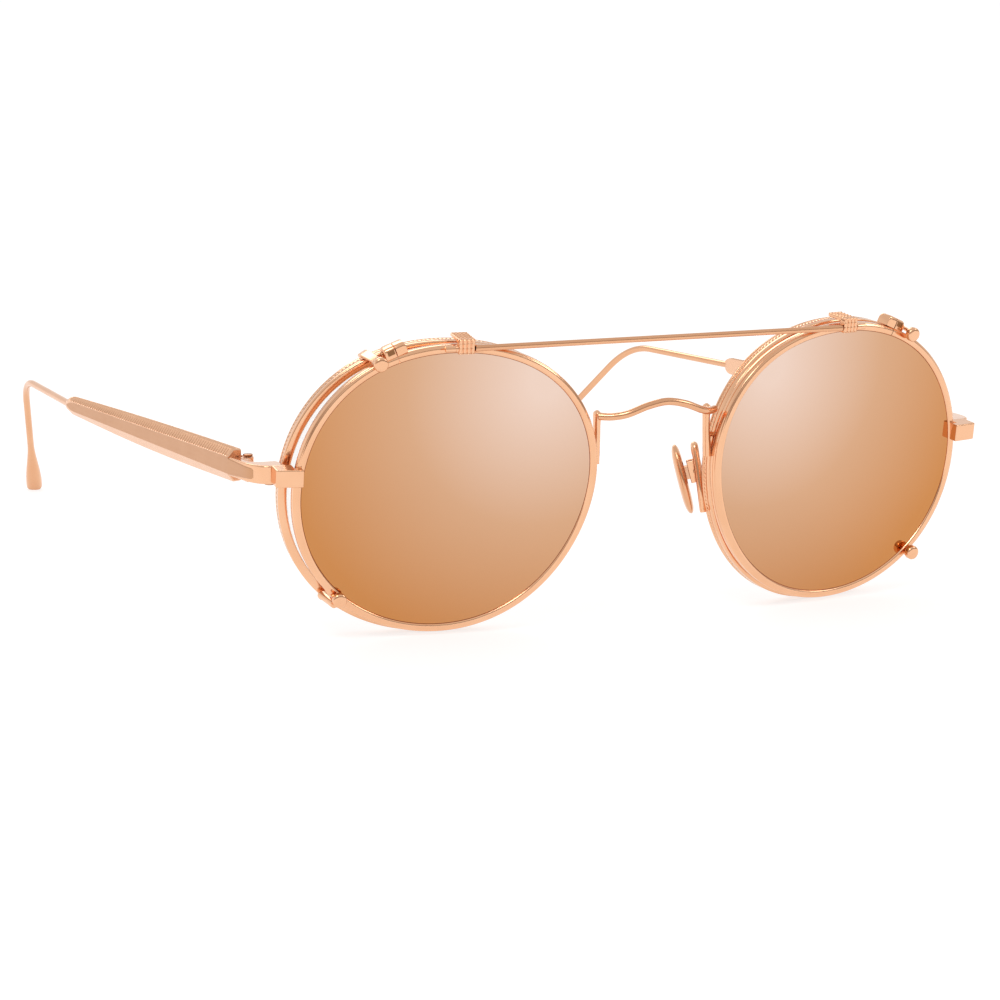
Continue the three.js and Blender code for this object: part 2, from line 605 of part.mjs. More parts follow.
// A six-sided bar with a bevel above and below its outer face, tapering to the rear.
function templeBar() {
  const rings = [0, 1].map((t) => {
    const y = BAR_START + t * BAR_LENGTH;
    const half = THREE.MathUtils.lerp(BAR_HEIGHT_FRONT, BAR_HEIGHT_REAR, t) / 2;
    const thick = THREE.MathUtils.lerp(BAR_THICK_FRONT, BAR_THICK_REAR, t);
    const outer = THREE.MathUtils.lerp(TONGUE_X, BAR_REAR_X + BAR_THICK_REAR / 2, t);
    const inner = outer - thick;
    const flat = half * (1 - 2 * BEVEL);
    const crest = outer - thick * 0.45;
    const corners = [[outer, flat], [outer, -flat], [crest, -half], [inner, -half], [inner, half], [crest, half]];
    return corners.map(([x, z]) => new THREE.Vector3(x, y, BAR_MIDDLE_Z + z));
  });
  return loft(rings);
}

function heading(toeIn, drop) {
  return new THREE.Vector3(-Math.sin(toeIn) * Math.cos(drop), Math.cos(toeIn) * Math.cos(drop), -Math.sin(drop));
}

// A wire from the bar's rear, over the ear and down, swelling into a drop at its tip.
function templeWire() {
  const back = heading(WIRE_TOE_IN, 0);
  const down = heading(EAR_TOE_IN, EAR_DROP);
  const start = new THREE.Vector3(BAR_REAR_X, BAR_START + BAR_LENGTH + GAP, BAR_MIDDLE_Z);
  const bendStart = start.clone().addScaledVector(back, WIRE_STRAIGHT);
  const corner = bendStart.clone().addScaledVector(back, EAR_BEND / 2);
  const bendEnd = corner.clone().addScaledVector(down, EAR_BEND / 2);
  const tip = bendEnd.clone().addScaledVector(down, EAR_LENGTH);
  const path = new THREE.CurvePath();
  path.add(new THREE.LineCurve3(start, bendStart));
  path.add(new THREE.QuadraticBezierCurve3(bendStart, corner, bendEnd));
  path.add(new THREE.LineCurve3(bendEnd, tip));
  const length = path.getLength();
  const swellFrom = length - TIP_LENGTH;
  const stations = [0, WIRE_STRAIGHT];
  for (let i = 1; i <= EAR_STEPS; i++) stations.push(WIRE_STRAIGHT + (EAR_BEND * 0.95 * i) / EAR_STEPS);
  stations.push(swellFrom);
  for (let i = 1; i <= TIP_STEPS; i++) stations.push(swellFrom + TIP_LENGTH * Math.sin((Math.PI / 2) * (i / TIP_STEPS)));
  const rings = stations.map((s) => {
    const u = Math.min(s / length, 1);
    const centre = path.getPointAt(u);
    const tangent = path.getTangentAt(u);
    const across = tangent.clone().cross(new THREE.Vector3(0, 0, 1)).normalize();
    const upward = across.clone().cross(tangent);
    const swell = THREE.MathUtils.smoothstep(s, swellFrom, length - TIP_WIDTH / 2);
    const full = THREE.MathUtils.lerp(WIRE_DIAMETER, TIP_WIDTH, swell) / 2;
    const fromEnd = Math.max(length - s, 0.02);
    const round = Math.sqrt(Math.min(fromEnd * (TIP_WIDTH - fromEnd), (TIP_WIDTH / 2) ** 2));
    const radius = fromEnd < TIP_WIDTH / 2 ? Math.min(full, round) : full;
    return Array.from({ length: WIRE_SIDES }, (_, i) => {
      const angle = (2 * Math.PI * i) / WIRE_SIDES;
      return centre.clone().addScaledVector(across, radius * Math.cos(angle))
        .addScaledVector(upward, -radius * Math.sin(angle));
    });
  });
  return loft(rings);
}

function buildTemple(side, group) {
  add(group, `temple_leaf_${side}`, templeLeaf(), satin);
  add(group, `temple_bar_${side}`, templeBar(), satin);
  add(group, `temple_wire_${side}`, templeWire(), polished);
}

// ---- The whole object -----------------------------------------------------------------------------

for (const [side, sign] of [["left", 1], ["right", -1]]) {
  const half = new THREE.Group();
  half.scale.x = sign;
  parts.add(half);
  buildFront(side, half);
  buildTemple(side, half);
  buildClip(side, half);
}
add(parts, "bridge", bridge(), polished);
add(parts, "top_bar", topBar(), polished);

// The lowest world point of the meshes whose names hold a word.
function lowest(word) {
  const best = new THREE.Vector3(0, 0, Infinity);
  const point = new THREE.Vector3();
  parts.updateMatrixWorld(true);
  parts.traverse((mesh) => {
    if (!mesh.isMesh || !mesh.name.includes(word)) return;
    const position = mesh.geometry.attributes.position;
    for (let i = 0; i < position.count; i++) {
      point.fromBufferAttribute(position, i).applyMatrix4(mesh.matrixWorld);
      if (point.z < best.z) best.copy(point);
    }
  });
  return best;
}

// Leans the object until its rims and its temple tips stand on one level.
const LEAN_ROUNDS = 6;
for (let round = 0; round < LEAN_ROUNDS; round++) {
  const rim = lowest("rim");
  const tip = lowest("temple_wire");
  parts.rotation.x -= Math.atan2(tip.z - rim.z, tip.y - rim.y);
}
parts.updateMatrixWorld(true);
const bounds = new THREE.Box3().setFromObject(parts, true);
parts.position.set(0, -(bounds.min.y + bounds.max.y) / 2, -bounds.min.z);

const spectacles = new THREE.Group();
spectacles.add(parts);
export default spectacles;
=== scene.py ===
import json
import math

import bpy
from mathutils import Matrix, Vector


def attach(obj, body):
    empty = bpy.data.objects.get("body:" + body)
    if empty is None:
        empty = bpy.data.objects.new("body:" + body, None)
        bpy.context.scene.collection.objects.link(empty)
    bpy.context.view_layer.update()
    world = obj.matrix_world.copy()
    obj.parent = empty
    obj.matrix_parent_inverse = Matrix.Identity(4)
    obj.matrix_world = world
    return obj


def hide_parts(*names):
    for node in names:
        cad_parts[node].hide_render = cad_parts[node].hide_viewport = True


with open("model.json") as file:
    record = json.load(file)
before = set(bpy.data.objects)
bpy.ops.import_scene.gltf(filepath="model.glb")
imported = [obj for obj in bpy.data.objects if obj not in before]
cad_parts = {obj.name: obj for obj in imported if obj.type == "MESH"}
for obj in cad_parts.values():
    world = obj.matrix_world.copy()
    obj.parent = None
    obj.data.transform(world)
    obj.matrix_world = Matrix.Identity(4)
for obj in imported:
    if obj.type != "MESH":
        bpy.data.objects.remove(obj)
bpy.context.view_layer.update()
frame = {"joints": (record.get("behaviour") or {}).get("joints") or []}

# ---- Sizes in millimetres, in the spectacles' own frame ---------------------------------------------
# Origin midway between the two sun lenses, x to the wearer's left, y back, z up.

LENS_WIDTH = 47.1
LENS_HEIGHT = 44.2
LENS_LEAN = math.radians(-15)
SHOULDER = 0.0118
CORNER = 0.0083
CORNER_LEAN = math.radians(56)
LENS_PITCH = 70.0

CLIP_WRAP = math.radians(7.7)
TILT = math.radians(7.7)
CLIP_RIM_WIDTH = 1.2
CLIP_FRONT = -0.7
CLIP_REAR = 1.0

BASE_BACK = 4.0
BASE_OUT = 0.15
BASE_EXTRA_WRAP = math.radians(3.2)
BASE_OUTER = 1.55
BASE_INNER = 0.15
BASE_HALF_DEPTH = 1.15
KNURL_RADIUS = 24.5
KNURL_PITCH = 0.7
KNURL_COUNT = round(2 * math.pi * KNURL_RADIUS / KNURL_PITCH)
KNURL_DEPTH = 0.1

BAR_RADIUS = 0.5
BAR_PROUD = 1.9
BAR_ABOVE = 0.95
STUB_LENGTH = 2.0
HOOK_WIDTH = 2.65
HOOK_INSET = 0.3
HOOK_PROUD = 2.55
HOOK_BLOCK_DEPTH = 1.4
HOOK_DROP = 2.45
HOOK_ABOVE = 1.4
HOOK_PLATE = 0.65
HOOK_REACH = 2.2

CLAW_RADIUS = 1.15
CLAW_PROUD = 2.5
CLAW_HEAD = 1.2
UPPER_CLAW_ANGLE = math.radians(60)
UPPER_CLAW_RISE = 1.5
LOWER_CLAW_ANGLE = math.radians(-45)
LOWER_CLAW_RISE = 0.8
STRAP_WIDTH = 1.6
STRAP_LENGTH = 7.1
STRAP_THICK = 0.6
SHAFT_RADIUS = 0.75
SHAFT_RISE = 1.75
LUG_WIDTH = 4.3
LUG_HEIGHT = 2.8
LUG_BASE = 1.6
LUG_PROUD = 2.2
LUG_REAR = 1.2
LUG_SWEEP = 0.5
LOCK_ANGLE = math.radians(67.5)
LOCK_LENGTH = 3.6
LOCK_DEPTH = 2.6
LOCK_HEIGHT = 1.5
LOCK_SCREW_RADIUS = 0.26

END_HEIGHT = 2.9
END_BOTTOM = 1.5
END_MIDDLE = END_BOTTOM + END_HEIGHT / 2
END_CORNER_Y = 9.6
TONGUE_X = 65.1
TONGUE_THICK = 1.4
HINGE_Y = 14.6
PIN_X = 62.0
PIN_RADIUS = 0.4
KNUCKLE_RADIUS = 0.9
HINGE_BOTTOM = 1.0
HINGE_HEIGHT = 3.4
KNUCKLE_GAP = 0.2
LEAF_THICK = 0.6

TEMPLE_START = 15.2
TEMPLE_LENGTH = 73.0
TEMPLE_HEIGHTS = (5.2, 2.9)
TEMPLE_THICKS = (2.2, 1.5)
TEMPLE_MIDDLE = 3.05
TEMPLE_REAR_X = 64.5
REED_PITCH = 0.9
REED_COUNT = round((TEMPLE_LENGTH - 1.5) / REED_PITCH)
REED_DEPTH = 0.3
WIRE_RADIUS = 0.6
WIRE_STRAIGHT = 25.0
WIRE_TOE_IN = math.radians(6)
EAR_BEND = 14.0
EAR_DROP = math.radians(43)
EAR_TOE_IN = math.radians(23)
EAR_LENGTH = 27.5
TIP_RADIUS = 1.45
TIP_LENGTH = 14.0

BRIDGE_RADIUS = 0.6
BRIDGE_HALF = 10.4
BRIDGE_BOW = 3.3
BRIDGE_RISE = 2.2
BRIDGE_END = (-3.7, 10.15)
BRIDGE_SHAPE = ((0, 1, 1), (0.32, 0.97, 0.75), (0.63, 0.8, 0.22), (0.83, 0.4, 0), (1, 0, 0))
POST_X = 9.8
POST_FRONT_Y = -2.8
POST_DEPTH = 1.4
POST_BOTTOM = 2.4
POST_TOP = 10.9
PAD_CENTRE = Vector((10.3, 6.2, -2.6))
PAD_LENGTH = 11.6
PAD_WIDTH = 6.6
PAD_THICK = 1.6
PAD_SPLAY = math.radians(26)
PAD_LEAN = math.radians(15)
PAD_TO_BOX = 2.35
PAD_BOX_Y = 0.9
PAD_BOX = (2.1, 3.6, 2.3)
PAD_BOX_WALL = 0.4
PAD_SCREW_RADIUS = 0.28
ARM_RADIUS = 0.55
ARM_FOOT_ANGLE = math.radians(198)
ARM_RISE = 0.75
ARM_SETBACK = 0.6

# ---- Where the spectacles stand ---------------------------------------------------------------------

fold = next(j for j in frame["joints"] if j["name"] == "fold_left")
lean = Matrix.Rotation(-math.atan2(fold["axis"][1], fold["axis"][2]), 4, "X")
pin_middle = Vector((PIN_X, HINGE_Y, HINGE_BOTTOM + HINGE_HEIGHT / 2)) * 0.001
PLACE = Matrix.Translation(Vector(fold["pos_m"]) - lean @ pin_middle) @ lean @ Matrix.Scale(0.001, 4)
SIDES = {"left": 1, "right": -1}


def lens_plane(x, y, wrap):
    return Matrix.Translation((x, y, 0)) @ Matrix.Rotation(wrap, 4, "Z") @ Matrix.Rotation(TILT, 4, "X")


CLIP = lens_plane(LENS_PITCH / 2, 0, CLIP_WRAP)
BASE = lens_plane(LENS_PITCH / 2 + BASE_OUT, BASE_BACK, CLIP_WRAP + BASE_EXTRA_WRAP)


def edge(angle):
    """Distance of the lens edge from its centre."""
    mean = (LENS_WIDTH + LENS_HEIGHT) / 4
    oval = (LENS_WIDTH - LENS_HEIGHT) / (LENS_WIDTH + LENS_HEIGHT) / math.cos(2 * LENS_LEAN)
    return mean * (
        1
        + oval * math.cos(2 * (angle - LENS_LEAN))
        + SHOULDER * math.sin(3 * angle)
        + CORNER * math.cos(4 * (angle - CORNER_LEAN))
    )


def on_rim(angle, grow, y=0.0):
    reach = edge(angle) + grow
    return Vector((reach * math.cos(angle), y, reach * math.sin(angle)))


def at(angle):
    """Turns a form drawn with its radial direction along z to an angle of the rim."""
    return Matrix.Rotation(math.pi / 2 - angle, 4, "Y")


def mix(a, b, t):
    return a + (b - a) * t


def curve(a, pull, b, t):
    """A point on the curve that leaves a and reaches b, both along lines through pull."""
    return (1 - t) ** 2 * a + 2 * t * (1 - t) * pull + t * t * b


def ease(t):
    t = min(max(t, 0.0), 1.0)
    return t * t * (3 - 2 * t)


# ---- Forms ------------------------------------------------------------------------------------------


class Form:
    """Points and faces of a mesh, in millimetres."""

    def __init__(self, points, faces):
        self.points, self.faces = points, faces

    def __add__(self, other):
        shift = len(self.points)
        return Form(self.points + other.points, self.faces + [[i + shift for i in f] for f in other.faces])

    def moved(self, matrix):
        return Form([matrix @ p for p in self.points], self.faces)

    def mirrored(self):
        return Form([Vector((-p.x, p.y, p.z)) for p in self.points], [f[::-1] for f in self.faces])


def skin(rings, loop=False):
    """A skin over rows of points; loop joins the last row to the first, and otherwise both ends are capped."""
    count = len(rings[0])
    rows = len(rings)
    faces = []
    for row in range(rows if loop else rows - 1):
        here, there = row * count, ((row + 1) % rows) * count
        for i in range(count):
            j = (i + 1) % count
            faces.append([here + i, here + j, there + j, there + i])
    if not loop:
        faces.append(list(range(count))[::-1])
        faces.append([(rows - 1) * count + i for i in range(count)])
    return Form([p for ring in rings for p in ring], faces)


def block(x, y, z):
    corners = [Vector((x[i], y[j], z[k])) for k in (0, 1) for j in (0, 1) for i in (0, 1)]
    faces = [[0, 2, 3, 1], [4, 5, 7, 6], [0, 1, 5, 4], [1, 3, 7, 5], [3, 2, 6, 7], [2, 0, 4, 6]]
    return Form(corners, faces)


def prism(plan, low, high):
    """A plan in x and y, counter-clockwise, raised from low to high."""
    return skin([[Vector((x, y, z)) for x, y in plan] for z in (low, high)])


def turned(profile, steps=40):
    """A profile of radius and height turned about z, from the bottom up."""
    rings = []
    for radius, z in profile:
        around = [2 * math.pi * i / steps for i in range(steps)]
        rings.append([Vector((radius * math.cos(a), radius * math.sin(a), z)) for a in around])
    return skin(rings)


def peg(radius, low, high, soft=0.08):
    """A round pin along z with softened ends."""
    soft = min(soft, radius / 2, (high - low) / 2)
    return turned([(radius - soft, low), (radius - soft * 0.3, low + soft * 0.3), (radius, low + soft),
                   (radius, high - soft), (radius - soft * 0.3, high - soft * 0.3), (radius - soft, high)])


def spline(points, steps):
    """A smooth path through points, steps to each stretch."""
    padded = [points[0] * 2 - points[1], *points, points[-1] * 2 - points[-2]]
    path = []
    for a, b, c, d in zip(padded, padded[1:], padded[2:], padded[3:]):
        for i in range(steps):
            t = i / steps
            path.append(0.5 * (2 * b + (c - a) * t + (2 * a - 5 * b + 4 * c - d) * t * t
                               + (3 * b - a - 3 * c + d) * t ** 3))
    return [*path, points[-1].copy()]


def tube(path, radius, sides=24, soft=0.12, flat=1.0):
    """A round wire along a path; radius is a number or one for each point, flat squeezes it vertically."""
    radii = radius if isinstance(radius, list) else [radius] * len(path)
    start, end = path[0], path[-1]
    ahead, behind = (path[1] - start).normalized(), (path[-2] - end).normalized()
    if soft:
        path = [start, start + ahead * soft, *path[1:-1], end + behind * soft, end]
        radii = [radii[0] - soft * 0.8, radii[0], *radii[1:-1], radii[-1], radii[-1] - soft * 0.8]
    side = ahead.cross(Vector((0, 0, 1)))
    side = (side if side.length > 0.05 else ahead.cross(Vector((0, 1, 0)))).normalized()
    rings = []
    for i, centre in enumerate(path):
        tangent = (path[min(i + 1, len(path) - 1)] - path[max(i - 1, 0)]).normalized()
        side = (side - tangent * side.dot(tangent)).normalized()
        up = side.cross(tangent)
        rings.append([centre + side * (radii[i] * math.cos(a)) + up * (radii[i] * flat * math.sin(a))
                      for a in (2 * math.pi * k / sides for k in range(sides))])
    return skin([ring[::-1] for ring in rings])


def around_rim(section, steps=300, seam=None, slit=0.1):
    """Sweeps section(angle), points of growth beyond the lens edge and y, round the lens; seam slits it."""
    rings = []
    for i in range(steps):
        if seam is None:
            angle = 2 * math.pi * i / steps
        else:
            half = slit / 2 / edge(seam)
            angle = mix(seam + half, seam + 2 * math.pi - half, i / (steps - 1))
        rings.append([on_rim(angle, grow, y) for grow, y in section(angle)])
    return skin([ring[::-1] for ring in rings], loop=seam is None)


def disc(grow, front, rear, steps=240, soft=0.12):
    """A lens blank: flat faces and a softened edge."""
    rows = [(grow - soft, front), (grow, front + soft), (grow, rear - soft), (grow - soft, rear)]
    angles = [2 * math.pi * i / steps for i in range(steps)]
    return skin([[on_rim(a, g, y) for a in angles] for g, y in rows])


# ---- Materials --------------------------------------------------------------------------------------


class Signal:
    """A node's output that can be used in sums like a number."""

    def __init__(self, tree, socket):
        self.tree, self.socket = tree, socket

    def maths(self, operation, *terms):
        return make(self.tree, "ShaderNodeMath", {"operation": operation}, dict(enumerate(terms)))

    def __add__(self, other):
        return self.maths("ADD", self, other)

    def __sub__(self, other):
        return self.maths("SUBTRACT", self, other)

    def __rsub__(self, other):
        return self.maths("SUBTRACT", other, self)

    def __mul__(self, other):
        return self.maths("MULTIPLY", self, other)

    def __truediv__(self, other):
        return self.maths("DIVIDE", self, other)

    def __pow__(self, other):
        return self.maths("POWER", self, other)

    def __abs__(self):
        return self.maths("ABSOLUTE", self)

    def clamped(self):
        return make(self.tree, "ShaderNodeClamp", {}, {0: self})

    def between(self, low, high):
        """Mixes two colours by this value."""
        return make(self.tree, "ShaderNodeMix", {"data_type": "RGBA"}, {0: self, 6: low, 7: high}, 2)

    def part(self, axis):
        return make(self.tree, "ShaderNodeSeparateXYZ", {}, {0: self}, axis)


def connect(tree, value, socket):
    if isinstance(value, Signal):
        tree.links.new(value.socket, socket)
    else:
        socket.default_value = value


def make(tree, kind, settings, sockets, output=0):
    node = tree.nodes.new(kind)
    for name, value in settings.items():
        setattr(node, name, value)
    for key, value in sockets.items():
        connect(tree, value, node.inputs[key])
    return Signal(tree, node.outputs[output])


def shade(name, build):
    """A material whose build function returns the surface's socket values."""
    material = bpy.data.materials.new(name)
    material.use_nodes = True
    tree = material.node_tree
    surface = tree.nodes["Principled BSDF"]
    here = make(tree, "ShaderNodeTexCoord", {}, {}, 3)
    for key, value in build(tree, here).items():
        connect(tree, value, surface.inputs[key])
    return material


def noise(here, scale, detail=2.0, stretch=None):
    if stretch:
        here = make(here.tree, "ShaderNodeMapping", {}, {0: here, 3: stretch})
    return make(here.tree, "ShaderNodeTexNoise", {}, {"Vector": here, "Scale": scale, "Detail": detail}, 0)


def bump(height, strength, distance):
    sockets = {"Strength": strength, "Distance": distance, "Height": height}
    return make(height.tree, "ShaderNodeBump", {}, sockets)


def plated(light, deep, rough, grain, stretch=None):
    """Rose gold plate: cloudy thickness of the plating, polishing haze and hairline marks."""

    def build(tree, here):
        cloud = noise(here, 160.0, 3.0)
        haze = noise(here, 900.0, 3.0)
        hairs = noise(here, 2600.0, 2.0, stretch or (1.0, 0.12, 1.0))
        return {
            "Base Color": cloud.between(deep, light),
            "Metallic": 1.0,
            "Roughness": (haze * 0.08 + hairs * grain + rough).clamped(),
            "Normal": bump(hairs, 0.25, 0.000004),
        }

    return build


def sun_mirror(tree, here):
    """Flash mirror: amber mirror coating with a painted highlight, pale peach by the nose at the top, fading to
    amber at the bottom and the temples.
    """
    across = abs(here.part(0))
    height = here.part(2)
    away = ((across - 0.020) / 0.046) ** 2.0
    below = ((0.040 - height) / 0.046).clamped() ** 2.0
    # painted highlight: palest near the top by the nose, deepening to the coating's amber away from there
    highlight_falloff = ((away * 1.05 + below * 1.0) ** 0.5 * 1.12 - 0.06).clamped()
    middle = (highlight_falloff * 2.0).clamped().between((0.80, 0.61, 0.515, 1), (0.65, 0.375, 0.222, 1))
    tint_and_highlight = (highlight_falloff * 2.0 - 1.0).clamped().between(middle, (0.58, 0.245, 0.078, 1))
    coat = noise(here, 60.0, 1.0)
    return {
        "Base Color": (coat * 0.06).between(tint_and_highlight, (0.8, 0.5, 0.3, 1)),
        "Metallic": 1.0,
        "Roughness": coat * 0.02 + 0.02,
        "Coat Weight": 0.0,
    }


def clear_lens(tree, here):
    smear = noise(here, 90.0, 2.0)
    return {
        "Base Color": smear.between((0.90, 0.93, 0.92, 1), (0.98, 0.98, 0.97, 1)),
        "Roughness": smear * 0.05 + 0.02,
        "Alpha": 0.10,
        "IOR": 1.5,
    }


def floor_paint(tree, here):
    speck = noise(here, 30.0, 2.0)
    return {
        "Base Color": speck.between((0.36, 0.36, 0.36, 1), (0.38, 0.38, 0.38, 1)),
        "Roughness": speck * 0.1 + 0.8,
        "Emission Color": (1.0, 1.0, 1.0, 1),
        "Emission Strength": 0.70,
    }


polished = shade("polished rose gold", plated((0.93, 0.565, 0.36, 1), (0.84, 0.45, 0.25, 1), 0.08, 0.05))
drawn = shade("drawn rose gold", plated((0.84, 0.475, 0.28, 1), (0.75, 0.385, 0.21, 1), 0.10, 0.05))
satin = shade("satin rose gold", plated((0.90, 0.56, 0.37, 1), (0.83, 0.475, 0.29, 1), 0.18, 0.10))
# brushed finish for the flats; also the colour of the painted shade strips in the temple reeds
brushed_and_shade = shade("brushed rose gold", plated((0.66, 0.36, 0.20, 1), (0.60, 0.315, 0.17, 1), 0.26, 0.12))
# painted shade: a dark material for the shadow between the lock's barrel and the rim
painted_recess_shade = shade("shaded recess", plated((0.34, 0.16, 0.07, 1), (0.24, 0.11, 0.05, 1), 0.22, 0.10))
screw = shade("screw metal", plated((0.60, 0.30, 0.16, 1), (0.50, 0.24, 0.12, 1), 0.18, 0.10))
mirror = shade("sun mirror", sun_mirror)
clear = shade("clear demo lens", clear_lens)

# ---- Putting pieces in place ------------------------------------------------------------------------


def place(name, form, material, body, nodes, soft=0.0, sharp=38):
    """Makes the object in the row frame. soft bevels its edges by that many millimetres."""
    mesh = bpy.data.meshes.new(name)
    mesh.from_pydata([PLACE @ p for p in form.points], [], form.faces)
    mesh.shade_smooth()
    mesh.set_sharp_from_angle(angle=math.radians(sharp))
    mesh.materials.append(material)
    made = bpy.data.objects.new(name, mesh)
    bpy.context.scene.collection.objects.link(made)
    if soft:
        bevel = made.modifiers.new("softened edges", "BEVEL")
        bevel.width = soft * 0.001
        bevel.segments = 3
        bevel.limit_method = "ANGLE"
        bevel.angle_limit = math.radians(sharp)
        bevel.harden_normals = True
    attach(made, body)
    if nodes:
        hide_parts(*nodes)
    return made


def pair(name, form, material, body, nodes=(), soft=0.0, sharp=38):
    """The same piece on both sides; {side} in body and nodes names the side."""
    for side, sign in SIDES.items():
        place(
            f"{side}_{name}",
            form if sign > 0 else form.mirrored(),
            material,
            body.format(side=side),
            [n.format(side=side) for n in nodes],
            soft,
            sharp,
        )


# ---- Clip-on front ----------------------------------------------------------------------------------


def clip_section(angle):
    """Crowned front, a fine step where the front meets the side, and a lip over the lens."""
    return [(-0.06, -0.46), (0.0, -0.60), (0.12, -0.68), (0.40, CLIP_FRONT), (0.72, -0.69), (0.90, -0.62),
            (0.96, -0.54), (1.02, -0.52), (1.12, -0.46), (1.19, -0.34), (1.2, -0.1), (1.2, 0.18),
            (1.1, 0.22), (1.1, 0.30), (1.2, 0.34), (1.2, CLIP_REAR - 0.22), (1.14, CLIP_REAR - 0.08),
            (1.0, CLIP_REAR), (0.2, CLIP_REAR), (0.05, CLIP_REAR - 0.06), (0.0, CLIP_REAR - 0.2), (0.0, -0.40)]


clip_rim = around_rim(clip_section, 300, LOCK_ANGLE)
pair("clip_rim", clip_rim.moved(CLIP), polished, "clip_on", ["clip_rim_{side}"])
pair("sun_lens", disc(0.0, -0.42, 0.42).moved(CLIP), mirror, "clip_on", ["mirror_lens_{side}"])

hook_top = edge(math.pi / 2) + CLIP_RIM_WIDTH + HOOK_ABOVE
hook_x = (-HOOK_INSET - HOOK_WIDTH, -HOOK_INSET)


def hook_body():
    """A block before the rim and a plate over it, rounded down at the nasal side."""
    low = hook_top - HOOK_DROP
    face = -HOOK_PROUD + 0.22
    body = block(hook_x, (face, -HOOK_PROUD + HOOK_BLOCK_DEPTH), (low, hook_top - 0.1))
    inner, outer = hook_x
    plan = [(outer, face), (outer, HOOK_REACH), (inner + 0.25, HOOK_REACH), (inner, HOOK_REACH - 0.25),
            (inner, face)]
    return body + prism(plan, hook_top - HOOK_PLATE, hook_top - 0.14)


def hook_ribs():
    """Upright ribs on the face and rolls across the top, each notched along its length."""
    low = hook_top - HOOK_DROP
    ribs = Form([], [])
    count = 4
    width = HOOK_WIDTH / count
    for i in range(count):
        x = hook_x[0] + width * (i + 0.5)
        steps = 30
        radii = [width * (0.5 - 0.07 * abs(math.sin(3 * math.pi * k / steps))) for k in range(steps + 1)]
        path = [Vector((x, -HOOK_PROUD + width / 2, mix(low + 0.06, hook_top - 0.12, k / steps)))
                for k in range(steps + 1)]
        ribs = ribs + tube(path, radii, 16, 0.06)
    count = 6
    pitch = (HOOK_PROUD + HOOK_REACH) / count
    for i in range(count):
        y = -HOOK_PROUD + pitch * (i + 0.5)
        path = [Vector((mix(hook_x[0] + 0.08, hook_x[1] - 0.08, k / 24), y, hook_top - 0.26))
                for k in range(25)]
        radii = [0.26 - 0.03 * abs(math.sin(4 * math.pi * k / 24)) for k in range(25)]
        ribs = ribs + tube(path, radii, 16, 0.05, 1.0)
    return ribs


pair("hook", hook_body().moved(CLIP), polished, "clip_on", ["hook_{side}"], 0.12)
pair("hook_ribs", hook_ribs().moved(CLIP), polished, "clip_on")


def bar_point(x):
    return Vector((x, -BAR_PROUD, edge(math.pi / 2) + BAR_ABOVE))


stub_from = -HOOK_INSET - 0.1
stub_to = -HOOK_INSET + STUB_LENGTH
stub = tube([bar_point(stub_from), bar_point(mix(stub_from, stub_to, 0.5)), bar_point(stub_to)], BAR_RADIUS, 28)
stub = stub + peg(BAR_RADIUS + 0.1, 0, 0.35).moved(
    Matrix.Translation(bar_point(-HOOK_INSET)) @ Matrix.Rotation(math.pi / 2, 4, "Y"))
pair("bar_stub", stub.moved(CLIP), polished, "clip_on", ["bar_stub_{side}"])

bar_end = CLIP @ bar_point(-HOOK_INSET - HOOK_WIDTH - 0.1)
bar_path = [Vector((mix(-bar_end.x, bar_end.x, i / 40), bar_end.y, bar_end.z)) for i in range(41)]
bar_radii = [BAR_RADIUS - 0.02 + 0.08 * ease((abs(p.x) - bar_end.x + 2.0) / 2.0) for p in bar_path]
place("bar_over_the_bridge", tube(bar_path, bar_radii, 32), drawn, "clip_on", ["top_bar"])


def claw_head(rise, angle):
    """A round pad before the rim, with a domed face."""
    depth = CLAW_HEAD
    profile = [(0.6, 0.0), (0.93, 0.05), (1.08, 0.16), (CLAW_RADIUS, 0.34), (CLAW_RADIUS, depth - 0.2),
               (1.07, depth - 0.06), (0.93, depth)]
    face = turned(profile, 44).moved(Matrix.Rotation(-math.pi / 2, 4, "X"))
    return face.moved(at(angle) @ Matrix.Translation((0, -CLAW_PROUD, edge(angle) + rise)))


def claw_start(angle, radius):
    """The frame of a strap or shaft that runs back along the direction in which the clip-on comes off."""
    start = Vector((radius * math.cos(angle), -CLAW_PROUD + CLAW_HEAD / 2, radius * math.sin(angle)))
    return Matrix.Translation(start) @ Matrix.Rotation(-CLIP_WRAP, 4, "Z") @ at(angle)


def upper_strap():
    """A flat strap that widens over the spectacles' rim and curls down a little at its end."""
    section = ((1, -0.5), (1, 0.5), (0.8, 1), (-0.8, 1), (-1, 0.5), (-1, -0.5), (-0.8, -1), (0.8, -1))
    steps = 24
    rings = []
    for i in range(steps + 1):
        t = i / steps
        half = STRAP_WIDTH / 2 * mix(0.84, 1.0, ease(t * 1.3))
        rise = 0.22 * math.sin(math.pi * t)
        drop = -0.18 * ease((t - 0.85) / 0.15)
        middle = rise + drop
        thick = STRAP_THICK / 2
        rings.append([Vector((x * half, t * STRAP_LENGTH, middle + z * thick)) for x, z in section])
    return skin([ring[::-1] for ring in rings])


strap_radius = edge(UPPER_CLAW_ANGLE) + CLIP_RIM_WIDTH + 0.1 + STRAP_THICK / 2
upper_claw = claw_head(UPPER_CLAW_RISE, UPPER_CLAW_ANGLE)
upper_claw = upper_claw + upper_strap().moved(claw_start(UPPER_CLAW_ANGLE, strap_radius))
pair("upper_claw", upper_claw.moved(CLIP), polished, "clip_on", ["upper_claw_{side}"])

